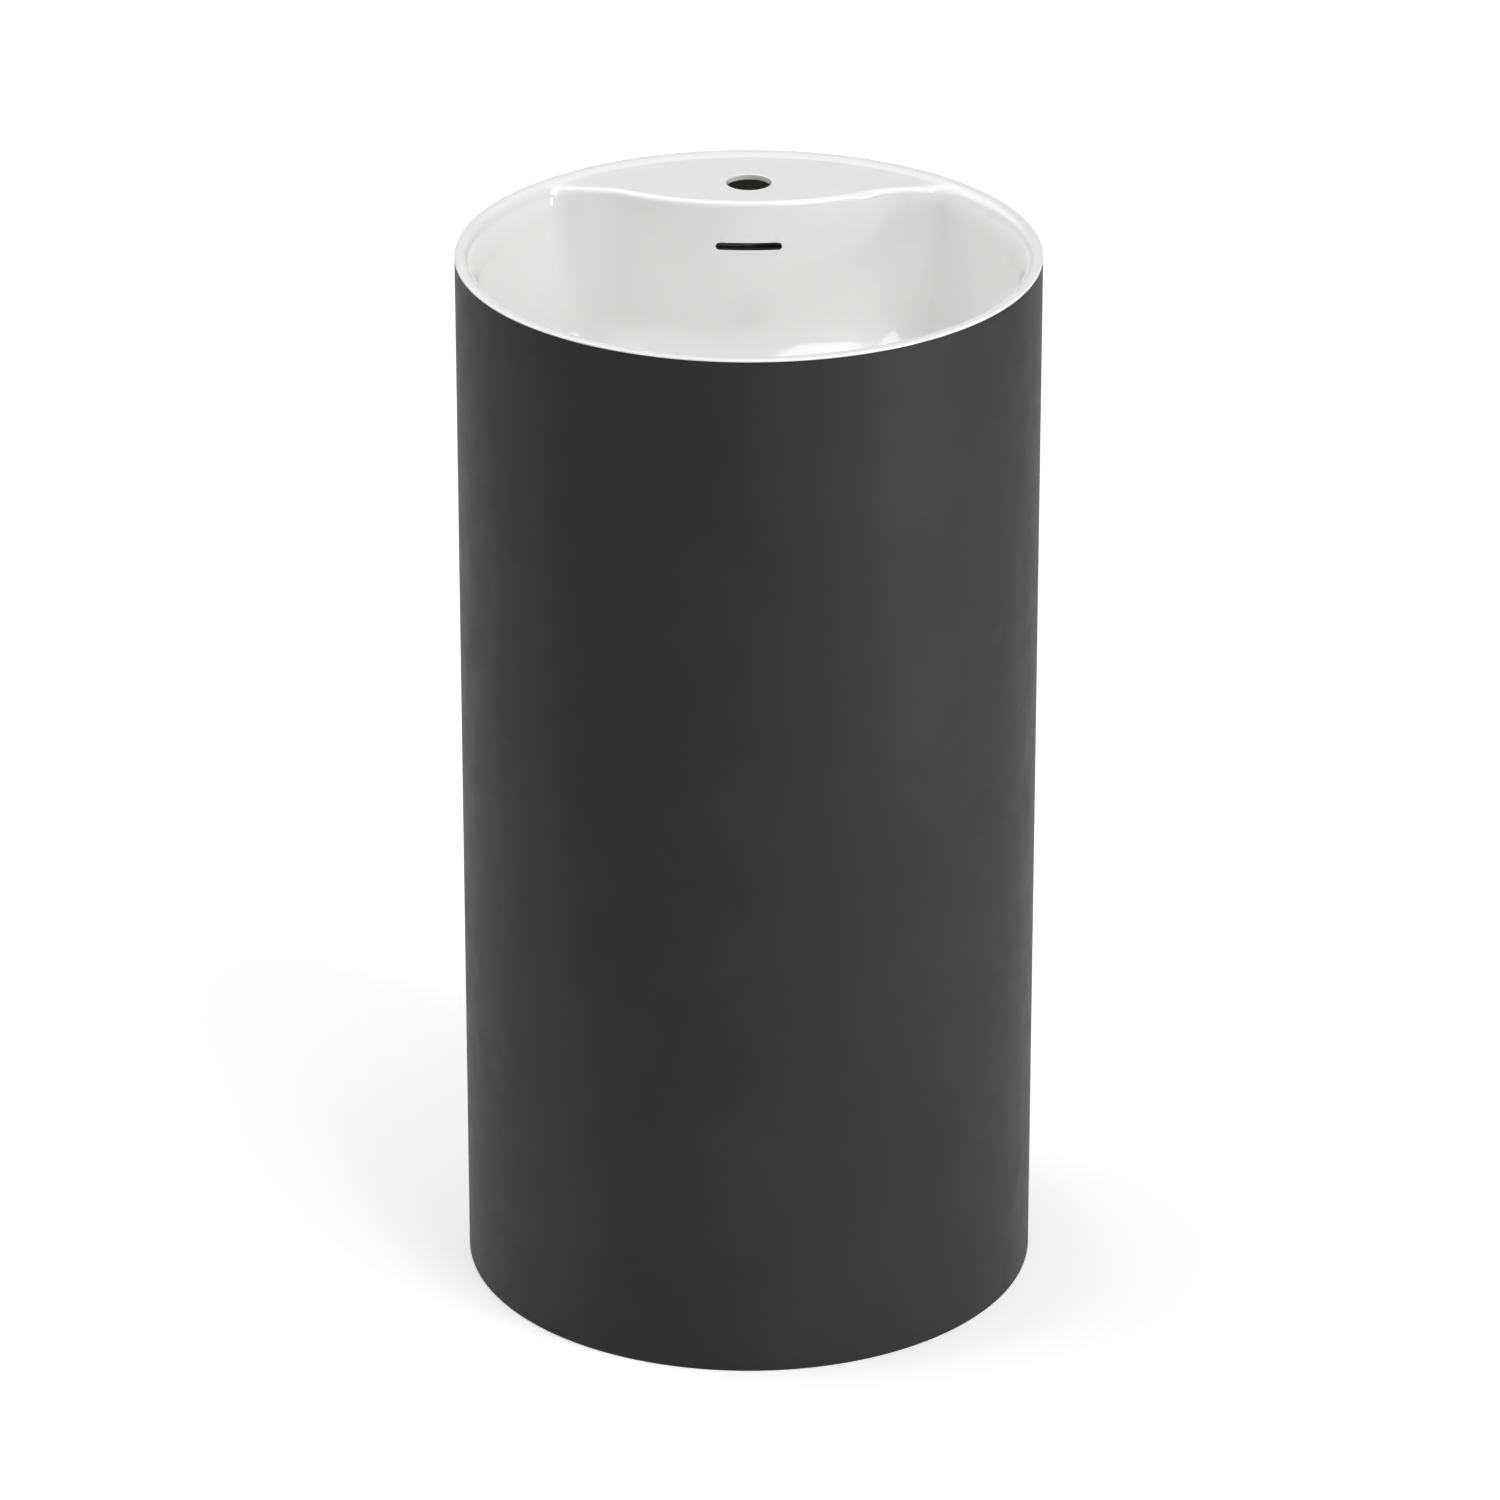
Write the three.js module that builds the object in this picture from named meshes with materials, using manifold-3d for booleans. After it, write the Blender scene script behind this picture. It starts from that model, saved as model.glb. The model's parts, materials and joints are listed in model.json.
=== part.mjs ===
// Cylindrical pedestal sink: a black tubular shell stands on the floor and carries a white basin
// bonded into its mitred top edge. A moulded channel leads from the overflow slot in the basin's
// rear wall to a click-clack waste, and the waste drains through a bottle trap to a horizontal
// outlet pipe behind the shell's rear service opening. Two angle brackets hold the base.
// Millimetres, +Z up, -Y towards the user. The origin is the centre of the base, on the floor.
import * as THREE from "three";
import { mergeVertices } from "three/addons/utils/BufferGeometryUtils.js";
import Module from "manifold-3d";

// Overall size
const OUTER_RADIUS = 225;
const HEIGHT = 850;
const GAP = 0.3; // assembly clearance between pieces that touch
const BEYOND = 10; // how far a cutting tool reaches past what it cuts

// Facets round each kind of piece
const SHELL_STEPS = 80;
const SIDE_STEPS = 52;
const CORNER_STEPS = 7;
const BULGE_STEPS = 14;
const HOLE_STEPS = 40;
const PIPE_STEPS = 24;
const SMALL_STEPS = 16;

// Shell
const SHELL_WALL = 8;
const LIP_HEIGHT = 1.5; // the basin's edge that shows above the shell
const OPENING_WIDTH = 200;
const OPENING_HEIGHT = 610;
const OPENING_CORNER = 50;

// Basin
const BASIN_WALL = 6;
const DECK_THICKNESS = 5;
const DECK_DROP = 2; // the tap deck lies this far below the rim
const BOWL_RADIUS = 208;
const BOWL_CORNER = 60; // plan radius of the two rear corners
const DECK_FRONT_Y = 110.5; // the deck's front edge on the centre line
const DECK_BULGE = 200; // plan radius of that edge
const DECK_FILLET = 5;
const DECK_REAR_RADIUS = 210.5; // where the deck meets the rim's slope
const DECK_BLEND = 14; // deck width over which the rim turns into the deck
const CREST_OUTER = 223;
const CREST_INNER = 219;
const LIP_SHOULDER = 0.6; // roundness of the lip's outer edge
const MITRE_RUN = 1; // how far the basin's mitre runs on past the shell's bore
const SEAT_STEP = 2; // from the mitre's end down to the bowl's wall
const SEAT_LEDGE = 4; // from the bowl's wall in to the deck's underside
const RIM_ROUND_HEIGHT = 28;
const WALL_DRAFT = 3;
const FLOOR_FILLET = 42;
const BOWL_DEPTH = 142; // rim to the edge of the floor
const FLOOR_FALL = 5;
const DRAIN_Y = -45;
const DRAIN_HOLE = 23;
const RECESS_RADIUS = 36;
const RECESS_DEPTH = 4;
const RECESS_BOSS = 1; // extra thickness under the drain recess
const RECESS_DRAFT = 1;
const TAP_HOLE_RADIUS = 17.5;
const TAP_HOLE_Y = 157;
const SLOT_WIDTH = 50;
const SLOT_HEIGHT = 4;
const SLOT_Z = 812;

// Overflow channel, outside the basin's rear wall and floor
const CHANNEL_CAVITY = 10;
const CHANNEL_WALL = 3;
const CHANNEL_WIDTH = 56; // of the cavity
const CHANNEL_TOP = 822; // of the cavity
const CHAMBER_RADIUS = 30;

// Waste fitting
const THREAD_RADIUS = 21; // 1 1/4 inch parallel thread
const WASTE_BORE = 19;
const WASTE_BOTTOM = 632;
const FLANGE_RADIUS = 32;
const FLANGE_EDGE = 2;
const FLANGE_CHAMFER = 3;
const SEAT_RADIUS = 24; // of the conical seat's upper edge
const NECK_RADIUS = 23.4; // of the cone under the flange, outside the seat
const WINDOW_WIDTH = 12; // of the four windows that let the overflow in
const BAR_TOP = 660;
const BAR_HEIGHT = 6;
const BAR_WIDTH = 5;
const HUB_RADIUS = 7;
const WASHER_INSET = 1; // a flat seal's edge lies this far inside what clamps it
const GASKET_HEIGHT = 6;
const GASKET_RADIUS = 31;
const GASKET_CHAMFER = 3;
const LOCKNUT_RADIUS = 26;
const LOCKNUT_FLANGE = 30;
const LOCKNUT_HEIGHT = 12;
const LOCKNUT_FLANGE_HEIGHT = 3;

// Plug
const PLUG_TRAVEL = 9;
const PLUG_RADIUS = 22;
const PLUG_HUB = 5;
const PLUG_EDGE = 2; // height of the disc's straight edge
const PLUG_CHAMFER = 2.5;
const PLUG_CROWN = 4; // full height of the disc
const PLUG_SEAL_RADIUS = 19.8;
const PLUG_SEAL_HEIGHT = 2;
const SEATED_DEPTH = 1.5; // the closed plug's underside below the flange
const STEM_RADIUS = 5.2;
const STEM_LENGTH = 25.5;
const STEM_PLAY = 0.4;
const HOUSING_RADIUS = 8;
const HOUSING_PIN = 3;
const HOUSING_FLOOR = 666;
const HOUSING_TOP = 688;
const SPRING_WIRE = 0.5; // radius of the wire
const SPRING_RADIUS = 4.2;
const SPRING_TURNS = 3;

// Bottle trap and outlet
const PIPE_RADIUS = 16;
const PIPE_BORE = 14;
const TRAP_WALL = 3;
const BOSS_RADIUS = 22;
const BOSS_TOP = 596;
const BOSS_END = 52; // end of the side outlet, from the trap's axis
const SOCKET_DEPTH = 20;
const OUTLET_Z = 552;
const HEAD_RADIUS = 28;
const HEAD_TOP = 580;
const HEAD_BOTTOM = 500;
const COLLAR_HEIGHT = 4;
const CUP_RADIUS = 32;
const CUP_TOP = 522;
const CUP_BOTTOM = 438;
const CUP_FOOT = 20; // radius of its flat underside
const CUP_KNEE = 30; // radius where its foot's chamfers end
const CUP_WALL = 4;
const CUP_RIM_HEIGHT = 18;
const CUP_SEAL_HEIGHT = 2.6;
const CUP_RIBS = 8;
const CUP_RIB_HEIGHT = 40;
const CUP_RIB_BOTTOM = 16; // above the cup's underside
const SEAL_INSET = 0.5; // a trap's seal lies this far inside the wall that covers it
const DIP_BOTTOM = 459;
const NUT_RADIUS = 25;
const NUT_LUG = 1.5;
const NUT_LUGS = 8;
const NUT_SKIRT = 12; // of a slip nut, down the socket
const NUT_TOP = 8;
const CONE_HEIGHT = 5;
const CONE_TAPER = 3;
const UNION_NUT_HEIGHT = 27;
const UNION_WASHER_HEIGHT = 2;

// Floor fixings
const BRACKET_WIDTH = 40;
const BRACKET_THICKNESS = 3;
const BRACKET_HEIGHT = 78;
const BRACKET_FOOT = 48;
const FOOT_SLOT_INSET = 24; // from the leg to the middle of the floor slot
const FOOT_SLOT_WIDTH = 9;
const LEG_SLOT_WIDTH = 7;
const BRACKET_SLOT_LENGTH = 20;
const BLOCK_WIDTH = 50;
const BLOCK_DEPTH = 15;
const BLOCK_BOTTOM = 30;
const BLOCK_TOP = 86;
const SCREW_Z = 58;
const SCREW_RADIUS = 3;
const SCREW_HEAD = 6;
const SCREW_HEAD_HEIGHT = 4;
const SCREW_HEAD_CHAMFER = 1.5;
const SOCKET_RADIUS = 2.5;
const SOCKET_FLOOR = 2; // metal left under the socket
const INSERT_RADIUS = 4.5;
const INSERT_LENGTH = 12;
const SCREW_SHORT = 2; // from the screw's tip to the insert's end
const WASHER_RADIUS = 8;
const WASHER_THICKNESS = 1.5;

// Levels and radii that follow from those
const ARRIS_Z = HEIGHT - LIP_HEIGHT;
const MITRE_FOOT_Z = ARRIS_Z - SHELL_WALL;
const DECK_Z = HEIGHT - DECK_DROP;
const DECK_UNDER_Z = DECK_Z - DECK_THICKNESS;
const SHELL_INNER = OUTER_RADIUS - SHELL_WALL;
const BASIN_OUTER = BOWL_RADIUS + BASIN_WALL;
const FLOOR_EDGE_Z = HEIGHT - BOWL_DEPTH;
const WALL_FOOT_Z = FLOOR_EDGE_Z + FLOOR_FILLET;
const FLOOR_INSET = WALL_DRAFT + FLOOR_FILLET;
const FLOOR_DRAIN_Z = FLOOR_EDGE_Z - FLOOR_FALL;
const RECESS_Z = FLOOR_DRAIN_Z - RECESS_DEPTH;
const FLOOR_UNDER_Z = RECESS_Z - BASIN_WALL - RECESS_BOSS;
const CHAMBER_BOTTOM = FLOOR_UNDER_Z - CHANNEL_CAVITY - CHANNEL_WALL;
const FLANGE_Z = FLOOR_DRAIN_Z;
const FLANGE_UNDER_Z = FLANGE_Z - FLANGE_EDGE;
const GASKET_TOP = CHAMBER_BOTTOM - GAP;
const GASKET_BOTTOM = GASKET_TOP - GASKET_HEIGHT;
const LOCKNUT_TOP = GASKET_BOTTOM - GAP;
const PLUG_OPEN_Z = FLANGE_Z - SEATED_DEPTH + PLUG_TRAVEL; // underside of the raised plug's disc
const STEM_TOP = PLUG_OPEN_Z - PLUG_HUB - GAP;
const STEM_BOTTOM = STEM_TOP - STEM_LENGTH;
const INLET_TOP = WASTE_BOTTOM - 3 * GAP - UNION_WASHER_HEIGHT;
const COLLAR_RADIUS = THREAD_RADIUS - WASHER_INSET; // of the inlet tube, under the union washer
const COLLAR_Z = CUP_TOP + CUP_SEAL_HEIGHT + 2 * GAP;
const PIPE_START = DRAIN_Y + BOSS_END - SOCKET_DEPTH + 4;
const BLOCK_FACE = SHELL_INNER - GAP - BLOCK_DEPTH;
const LEG_OUTER = BLOCK_FACE - GAP;
const LEG_INNER = LEG_OUTER - BRACKET_THICKNESS;

const wasm = await Module();
wasm.setup();

// ---------- solids ----------

// A closed three.js geometry as a manifold-3d solid.
function solid(geometry) {
  const bare = geometry.clone();
  bare.deleteAttribute("normal");
  bare.deleteAttribute("uv");
  const merged = mergeVertices(bare, 1e-4);
  return new wasm.Manifold(
    new wasm.Mesh({
      numProp: 3,
      vertProperties: new Float32Array(merged.attributes.position.array),
      triVerts: new Uint32Array(merged.index.array),
    }),
  );
}

function geometryOf(made) {
  const mesh = made.getMesh();
  const geometry = new THREE.BufferGeometry();
  geometry.setAttribute("position", new THREE.BufferAttribute(mesh.vertProperties, 3));
  geometry.setIndex(new THREE.BufferAttribute(mesh.triVerts, 1));
  geometry.computeVertexNormals();
  return geometry;
}

function cut(geometry, ...tools) {
  return geometryOf(tools.reduce((body, tool) => body.subtract(solid(tool)), solid(geometry)));
}

function join(...geometries) {
  return geometryOf(geometries.map(solid).reduce((body, other) => body.add(other)));
}

// A closed [radius, height] profile, listed anticlockwise, turned about the Z axis.
function turned(profile, steps = PIPE_STEPS) {
  const points = [...profile, profile[0]].map(([r, z]) => new THREE.Vector2(r, z));
  return new THREE.LatheGeometry(points, steps).rotateX(Math.PI / 2);
}

function disc(radius, bottom, top, steps = PIPE_STEPS) {
  return new THREE.CylinderGeometry(radius, radius, top - bottom, steps)
    .rotateX(Math.PI / 2)
    .translate(0, 0, (top + bottom) / 2);
}

function tube(outer, inner, bottom, top, steps = PIPE_STEPS) {
  return turned([[inner, bottom], [outer, bottom], [outer, top], [inner, top]], steps);
}

function box(width, depth, height, x, y, z) {
  return new THREE.BoxGeometry(width, depth, height).translate(x, y, z);
}

function extruded(shape, depth, curveSegments = 8) {
  return new THREE.ExtrudeGeometry(shape, { depth, bevelEnabled: false, curveSegments });
}

// A shape drawn in the XZ plane, extruded along +Y from y.
function alongY(shape, y, length) {
  return extruded(shape, length).rotateX(Math.PI / 2).translate(0, y + length, 0);
}

// A stadium: a slot's outline with rounded ends.
function stadium(width, height) {
  const r = height / 2;
  const half = width / 2 - r;
  const shape = new THREE.Shape();
  shape.moveTo(-half, -r);
  shape.lineTo(half, -r);
  shape.absarc(half, 0, r, -Math.PI / 2, Math.PI / 2, false);
  shape.lineTo(-half, r);
  shape.absarc(-half, 0, r, Math.PI / 2, 1.5 * Math.PI, false);
  return shape;
}

// A nut's ring with shallow grip lugs round it.
function luggedRing(radius, hole, bottom, top) {
  const steps = NUT_LUGS * 4;
  const shape = new THREE.Shape(
    Array.from({ length: steps }, (_, i) => {
      const raised = i % 4 < 2 ? NUT_LUG : 0;
      const angle = (2 * Math.PI * i) / steps;
      return new THREE.Vector2(radius + raised, 0).rotateAround(new THREE.Vector2(), angle);
    }),
  );
  shape.holes.push(new THREE.Path().absarc(0, 0, hole, 0, 2 * Math.PI, false));
  return extruded(shape, top - bottom, PIPE_STEPS / 2).translate(0, 0, bottom);
}

// ---------- the bowl's outline in plan ----------

// Three tangent arcs: the main circle, a corner on each side and the deck's bulging front edge.
const BULGE_CENTRE = new THREE.Vector2(0, DECK_FRONT_Y + DECK_BULGE);
const CORNER_CENTRE = cornerCentre();

function cornerCentre() {
  const fromAxis = BOWL_RADIUS - BOWL_CORNER;
  const fromBulge = DECK_BULGE + BOWL_CORNER;
  const y = (fromAxis ** 2 - fromBulge ** 2 + BULGE_CENTRE.y ** 2) / (2 * BULGE_CENTRE.y);
  return new THREE.Vector2(Math.sqrt(fromAxis ** 2 - y ** 2), y);
}

// Where a corner's arc meets the bulge's.
function turningPoint(inset) {
  return CORNER_CENTRE.clone().sub(BULGE_CENTRE).setLength(DECK_BULGE + inset).add(BULGE_CENTRE);
}

// Distance along a ray from the axis to a circle, on its near (-1) or far (1) side.
function rayToCircle(direction, centre, radius, side) {
  const along = direction.dot(centre);
  const off = centre.lengthSq() - along ** 2;
  return along + side * Math.sqrt(radius ** 2 - off);
}

// The outline's radius at an angle, moved inwards by inset everywhere.
function outline(angle, inset = 0) {
  const direction = new THREE.Vector2(Math.abs(Math.cos(angle)), Math.sin(angle));
  const polar = Math.atan2(direction.y, direction.x);
  if (polar <= CORNER_CENTRE.angle()) return BOWL_RADIUS - inset;
  if (polar <= turningPoint(inset).angle()) {
    return rayToCircle(direction, CORNER_CENTRE, BOWL_CORNER - inset, 1);
  }
  return rayToCircle(direction, BULGE_CENTRE, DECK_BULGE + inset, -1);
}

// Angles round the bowl, closest together where its corners turn.
const BOWL_ANGLES = bowlAngles();

function bowlAngles() {
  const spread = (from, to, count) =>
    Array.from({ length: count }, (_, i) => THREE.MathUtils.lerp(from, to, i / count));
  const start = CORNER_CENTRE.angle();
  const end = turningPoint(0).angle();
  return [
    ...spread(start, end, CORNER_STEPS),
    ...spread(end, Math.PI - end, BULGE_STEPS),
    ...spread(Math.PI - end, Math.PI - start, CORNER_STEPS),
    ...spread(Math.PI - start, 2 * Math.PI + start, SIDE_STEPS),
  ];
}

// ---------- rings: functions from an angle to a point ----------

const ring = (radius, z) => (angle) => [radius * Math.cos(angle), radius * Math.sin(angle), z];
const insetRing = (inset, z) => (angle) => ring(outline(angle, inset), z)(angle);
const drainRing = (radius, z) => (angle) => {
  return [radius * Math.cos(angle), DRAIN_Y + radius * Math.sin(angle), z];
};

// The ring part of the way from one to another, where share is a number or depends on the angle.
const between = (from, to, share) => (angle) => {
  const t = typeof share === "function" ? share(angle) : share;
  const end = to(angle);
  return from(angle).map((value, i) => THREE.MathUtils.lerp(value, end[i], t));
};

// 0 where the bowl reaches the rim, 1 where there is deck between them.
function deckShare(angle) {
  const deckWidth = DECK_REAR_RADIUS - outline(angle, -DECK_FILLET);
  return THREE.MathUtils.smoothstep(deckWidth, 0, DECK_BLEND);
}

// Equal steps of a quarter turn, from first to last of count.
const quarters = (count, first = 0) =>
  Array.from({ length: count + 1 - first }, (_, i) => ((i + first) / count) * (Math.PI / 2));

// A closed surface through rings. Its ends are joined to each other, or capped.
function lofted(rings, capped = false) {
  const steps = BOWL_ANGLES.length;
  const points = rings.flatMap((place) => BOWL_ANGLES.map(place));
  const faces = [];
  const vertex = (k, i) => (k % rings.length) * steps + (i % steps);
  for (let k = 0; k < (capped ? rings.length - 1 : rings.length); k++) {
    for (let i = 0; i < steps; i++) {
      const [a, b, c, d] = [vertex(k, i), vertex(k, i + 1), vertex(k + 1, i), vertex(k + 1, i + 1)];
      faces.push(a, b, c, b, d, c);
    }
  }
  if (capped) {
    const lowCentre = points.length;
    const highCentre = lowCentre + 1;
    points.push([0, 0, points[0][2]], [0, 0, points.at(-1)[2]]);
    for (let i = 0; i < steps; i++) {
      faces.push(lowCentre, vertex(0, i + 1), vertex(0, i));
      faces.push(highCentre, vertex(rings.length - 1, i), vertex(rings.length - 1, i + 1));
    }
  }
  const geometry = new THREE.BufferGeometry();
  geometry.setAttribute("position", new THREE.Float32BufferAttribute(points.flat(), 3));
  geometry.setIndex(faces);
  return geometry;
}

// ---------- shell and basin ----------

function serviceOpening() {
  const half = OPENING_WIDTH / 2;
  const shoulder = OPENING_HEIGHT - OPENING_CORNER;
  const shape = new THREE.Shape();
  shape.moveTo(-half, -BEYOND);
  shape.lineTo(half, -BEYOND);
  shape.absarc(half - OPENING_CORNER, shoulder, OPENING_CORNER, 0, Math.PI / 2, false);
  shape.absarc(OPENING_CORNER - half, shoulder, OPENING_CORNER, Math.PI / 2, Math.PI, false);
  return alongY(shape, OUTER_RADIUS / 2, OUTER_RADIUS);
}

function shell() {
  const bevelTop = ARRIS_Z - GAP * Math.SQRT2;
  const body = turned(
    [
      [SHELL_INNER, 0],
      [OUTER_RADIUS, 0],
      [OUTER_RADIUS, bevelTop],
      [SHELL_INNER, bevelTop - SHELL_WALL],
    ],
    SHELL_STEPS,
  );
  return cut(body, serviceOpening());
}

// From the lip's crest inwards: a rounded rim round the bowl, which turns into a slope, the deck
// and the deck's rounded front edge at the back.
function rimRings() {
  const rounded = (a) => {
    const radius = BOWL_RADIUS + (CREST_INNER - BOWL_RADIUS) * (1 - Math.sin(a));
    return ring(radius, HEIGHT - RIM_ROUND_HEIGHT * (1 - Math.cos(a)));
  };
  const slope = (t) => {
    const radius = THREE.MathUtils.lerp(CREST_INNER, DECK_REAR_RADIUS, t);
    return ring(radius, HEIGHT - DECK_DROP * THREE.MathUtils.smoothstep(t, 0, 1));
  };
  const edge = (a) => {
    return insetRing(-DECK_FILLET * (1 - Math.sin(a)), DECK_Z - DECK_FILLET * (1 - Math.cos(a)));
  };
  const deckSide = [slope(0.5), slope(1), ...quarters(3).map(edge)];
  const bowlSide = quarters(deckSide.length, 1).map(rounded);
  return deckSide.map((deckRing, i) => between(bowlSide[i], deckRing, deckShare));
}

function floorRings() {
  const fillet = quarters(4).map((a) => {
    const inset = FLOOR_INSET - FLOOR_FILLET * Math.cos(a);
    return insetRing(inset, WALL_FOOT_Z - FLOOR_FILLET * Math.sin(a));
  });
  const drainEdge = drainRing(RECESS_RADIUS, FLOOR_DRAIN_Z);
  return [
    ...fillet,
    between(fillet.at(-1), drainEdge, 0.5),
    drainEdge,
    drainRing(RECESS_RADIUS - RECESS_DRAFT, RECESS_Z),
    drainRing(DRAIN_HOLE, RECESS_Z),
  ];
}

// The bowl's underside from the drain outwards and up the wall, moved outwards by clear.
function underRings(clear) {
  const radius = FLOOR_FILLET + BASIN_WALL + clear;
  const fillet = quarters(4).map((a) => {
    return insetRing(FLOOR_INSET - radius * Math.cos(a), WALL_FOOT_Z - radius * Math.sin(a));
  });
  return [
    drainRing(DRAIN_HOLE, FLOOR_UNDER_Z - clear),
    drainRing(RECESS_RADIUS + BASIN_WALL, FLOOR_UNDER_Z + RECESS_BOSS - clear),
    ...fillet.reverse(),
  ];
}

function basin() {
  const mitreEnd = MITRE_FOOT_Z - MITRE_RUN;
  const wallTop = ring(BASIN_OUTER, mitreEnd - SEAT_STEP);
  const ledge = ring(BASIN_OUTER - SEAT_LEDGE, DECK_UNDER_Z);
  const body = lofted([
    ring(OUTER_RADIUS, ARRIS_Z),
    ring(OUTER_RADIUS - LIP_SHOULDER, HEIGHT - LIP_SHOULDER),
    ring(CREST_OUTER, HEIGHT),
    ring(CREST_INNER, HEIGHT),
    ...rimRings(),
    ...floorRings(),
    ...underRings(0),
    between(wallTop, insetRing(-BASIN_WALL, DECK_UNDER_Z), deckShare),
    between(ring(BASIN_OUTER, mitreEnd), ledge, deckShare),
    ring(SHELL_INNER - MITRE_RUN, mitreEnd),
  ]);
  const deckCut = disc(TAP_HOLE_RADIUS, DECK_UNDER_Z - BEYOND, HEIGHT + BEYOND, HOLE_STEPS);
  const slot = alongY(stadium(SLOT_WIDTH, SLOT_HEIGHT), DECK_FRONT_Y - BOWL_CORNER / 2, BOWL_CORNER);
  return cut(body, deckCut.translate(0, TAP_HOLE_Y, 0), slot.translate(0, 0, SLOT_Z));
}

// ---------- overflow ----------

// What the channel takes up at a distance outside the basin: a band behind the rear wall and
// under the floor, and a round chamber at the drain.
function channelFill(distance, width, top, chamberRadius) {
  const radius = FLOOR_FILLET + BASIN_WALL + distance;
  const cornerY = DECK_FRONT_Y - FLOOR_INSET;
  const wallY = DECK_FRONT_Y + BASIN_WALL + distance;
  const under = FLOOR_UNDER_Z - distance;
  const profile = new THREE.Shape(); // y to the right and z up
  profile.moveTo(wallY, top);
  profile.lineTo(DECK_FRONT_Y - BASIN_WALL, top);
  profile.lineTo(cornerY - FLOOR_FILLET / 2, WALL_FOOT_Z);
  profile.lineTo(DRAIN_Y, FLOOR_EDGE_Z);
  profile.lineTo(DRAIN_Y, under);
  profile.lineTo(DRAIN_Y + RECESS_RADIUS, under);
  profile.lineTo(cornerY, WALL_FOOT_Z - radius);
  profile.absarc(cornerY, WALL_FOOT_Z, radius, -Math.PI / 2, 0, false);
  const band = extruded(profile, width).translate(0, 0, -width / 2);
  // Turns the drawing upright: its right becomes +Y, its up +Z and its depth +X.
  band.rotateZ(Math.PI / 2).rotateY(Math.PI / 2);
  return join(band, disc(chamberRadius, under, FLOOR_EDGE_Z).translate(0, DRAIN_Y, 0));
}

function overflowChannel() {
  const outer = channelFill(
    CHANNEL_CAVITY + CHANNEL_WALL,
    CHANNEL_WIDTH + 2 * CHANNEL_WALL,
    CHANNEL_TOP + CHANNEL_WALL,
    CHAMBER_RADIUS + CHANNEL_WALL,
  );
  const cavity = channelFill(CHANNEL_CAVITY, CHANNEL_WIDTH, CHANNEL_TOP, CHAMBER_RADIUS);
  const basinSpace = lofted([...underRings(GAP), insetRing(-BASIN_WALL - GAP, DECK_Z)], true);
  const drainHole = disc(DRAIN_HOLE, CHAMBER_BOTTOM - BEYOND, FLOOR_EDGE_Z);
  return cut(outer, cavity, basinSpace, drainHole.translate(0, DRAIN_Y, 0));
}

// ---------- waste and plug, on their own axis ----------

function wasteBody() {
  const body = turned([
    [WASTE_BORE, WASTE_BOTTOM],
    [THREAD_RADIUS, WASTE_BOTTOM],
    [THREAD_RADIUS, FLANGE_UNDER_Z - (NECK_RADIUS - THREAD_RADIUS)],
    [NECK_RADIUS, FLANGE_UNDER_Z],
    [FLANGE_RADIUS, FLANGE_UNDER_Z],
    [FLANGE_RADIUS, FLANGE_UNDER_Z + FLANGE_EDGE / 2],
    [FLANGE_RADIUS - FLANGE_CHAMFER, FLANGE_Z],
    [SEAT_RADIUS, FLANGE_Z],
    [WASTE_BORE, FLANGE_Z - (SEAT_RADIUS - WASTE_BORE)],
  ], HOLE_STEPS);
  const windowHeight = CHANNEL_CAVITY - CHANNEL_WALL;
  const windowZ = FLOOR_UNDER_Z - CHANNEL_CAVITY / 2;
  const windows = [0, 1, 2, 3].map((i) => {
    const opening = box(WINDOW_WIDTH, WASTE_BORE, windowHeight, 0, THREAD_RADIUS, windowZ);
    return opening.rotateZ((i + 0.5) * (Math.PI / 2));
  });
  const bar = box(2 * WASTE_BORE + 1, BAR_WIDTH, BAR_HEIGHT, 0, 0, BAR_TOP - BAR_HEIGHT / 2);
  const hub = disc(HUB_RADIUS, BAR_TOP - BAR_HEIGHT, BAR_TOP, SMALL_STEPS);
  const pinHole = disc(HOUSING_PIN + GAP, BAR_TOP - 2 * BEYOND, BAR_TOP + BEYOND, SMALL_STEPS);
  return cut(join(cut(body, ...windows), bar, hub), pinHole);
}

function wasteTopGasket() {
  const top = FLANGE_UNDER_Z - GAP;
  return tube(FLANGE_RADIUS - WASHER_INSET, NECK_RADIUS + GAP, RECESS_Z + GAP, top);
}

function wasteBottomGasket() {
  const bore = THREAD_RADIUS + GAP;
  return turned([
    [bore, GASKET_BOTTOM],
    [GASKET_RADIUS, GASKET_BOTTOM],
    [GASKET_RADIUS - GASKET_CHAMFER, GASKET_TOP],
    [bore, GASKET_TOP],
  ]);
}

function wasteLocknut() {
  const bore = THREAD_RADIUS + GAP;
  const flangeFoot = LOCKNUT_TOP - LOCKNUT_FLANGE_HEIGHT;
  return join(
    tube(LOCKNUT_FLANGE, bore, flangeFoot, LOCKNUT_TOP),
    luggedRing(LOCKNUT_RADIUS, bore, LOCKNUT_TOP - LOCKNUT_HEIGHT, flangeFoot + 1),
  );
}

// Stands on the waste's bar with a pin through it, and guides the stem.
function plugHousing() {
  return turned([
    [0, BAR_TOP - BEYOND],
    [HOUSING_PIN, BAR_TOP - BEYOND],
    [HOUSING_PIN, BAR_TOP + GAP],
    [HOUSING_RADIUS, BAR_TOP + GAP],
    [HOUSING_RADIUS, HOUSING_TOP],
    [STEM_RADIUS + STEM_PLAY, HOUSING_TOP],
    [STEM_RADIUS + STEM_PLAY, HOUSING_FLOOR],
    [0, HOUSING_FLOOR],
  ], SMALL_STEPS);
}

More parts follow.
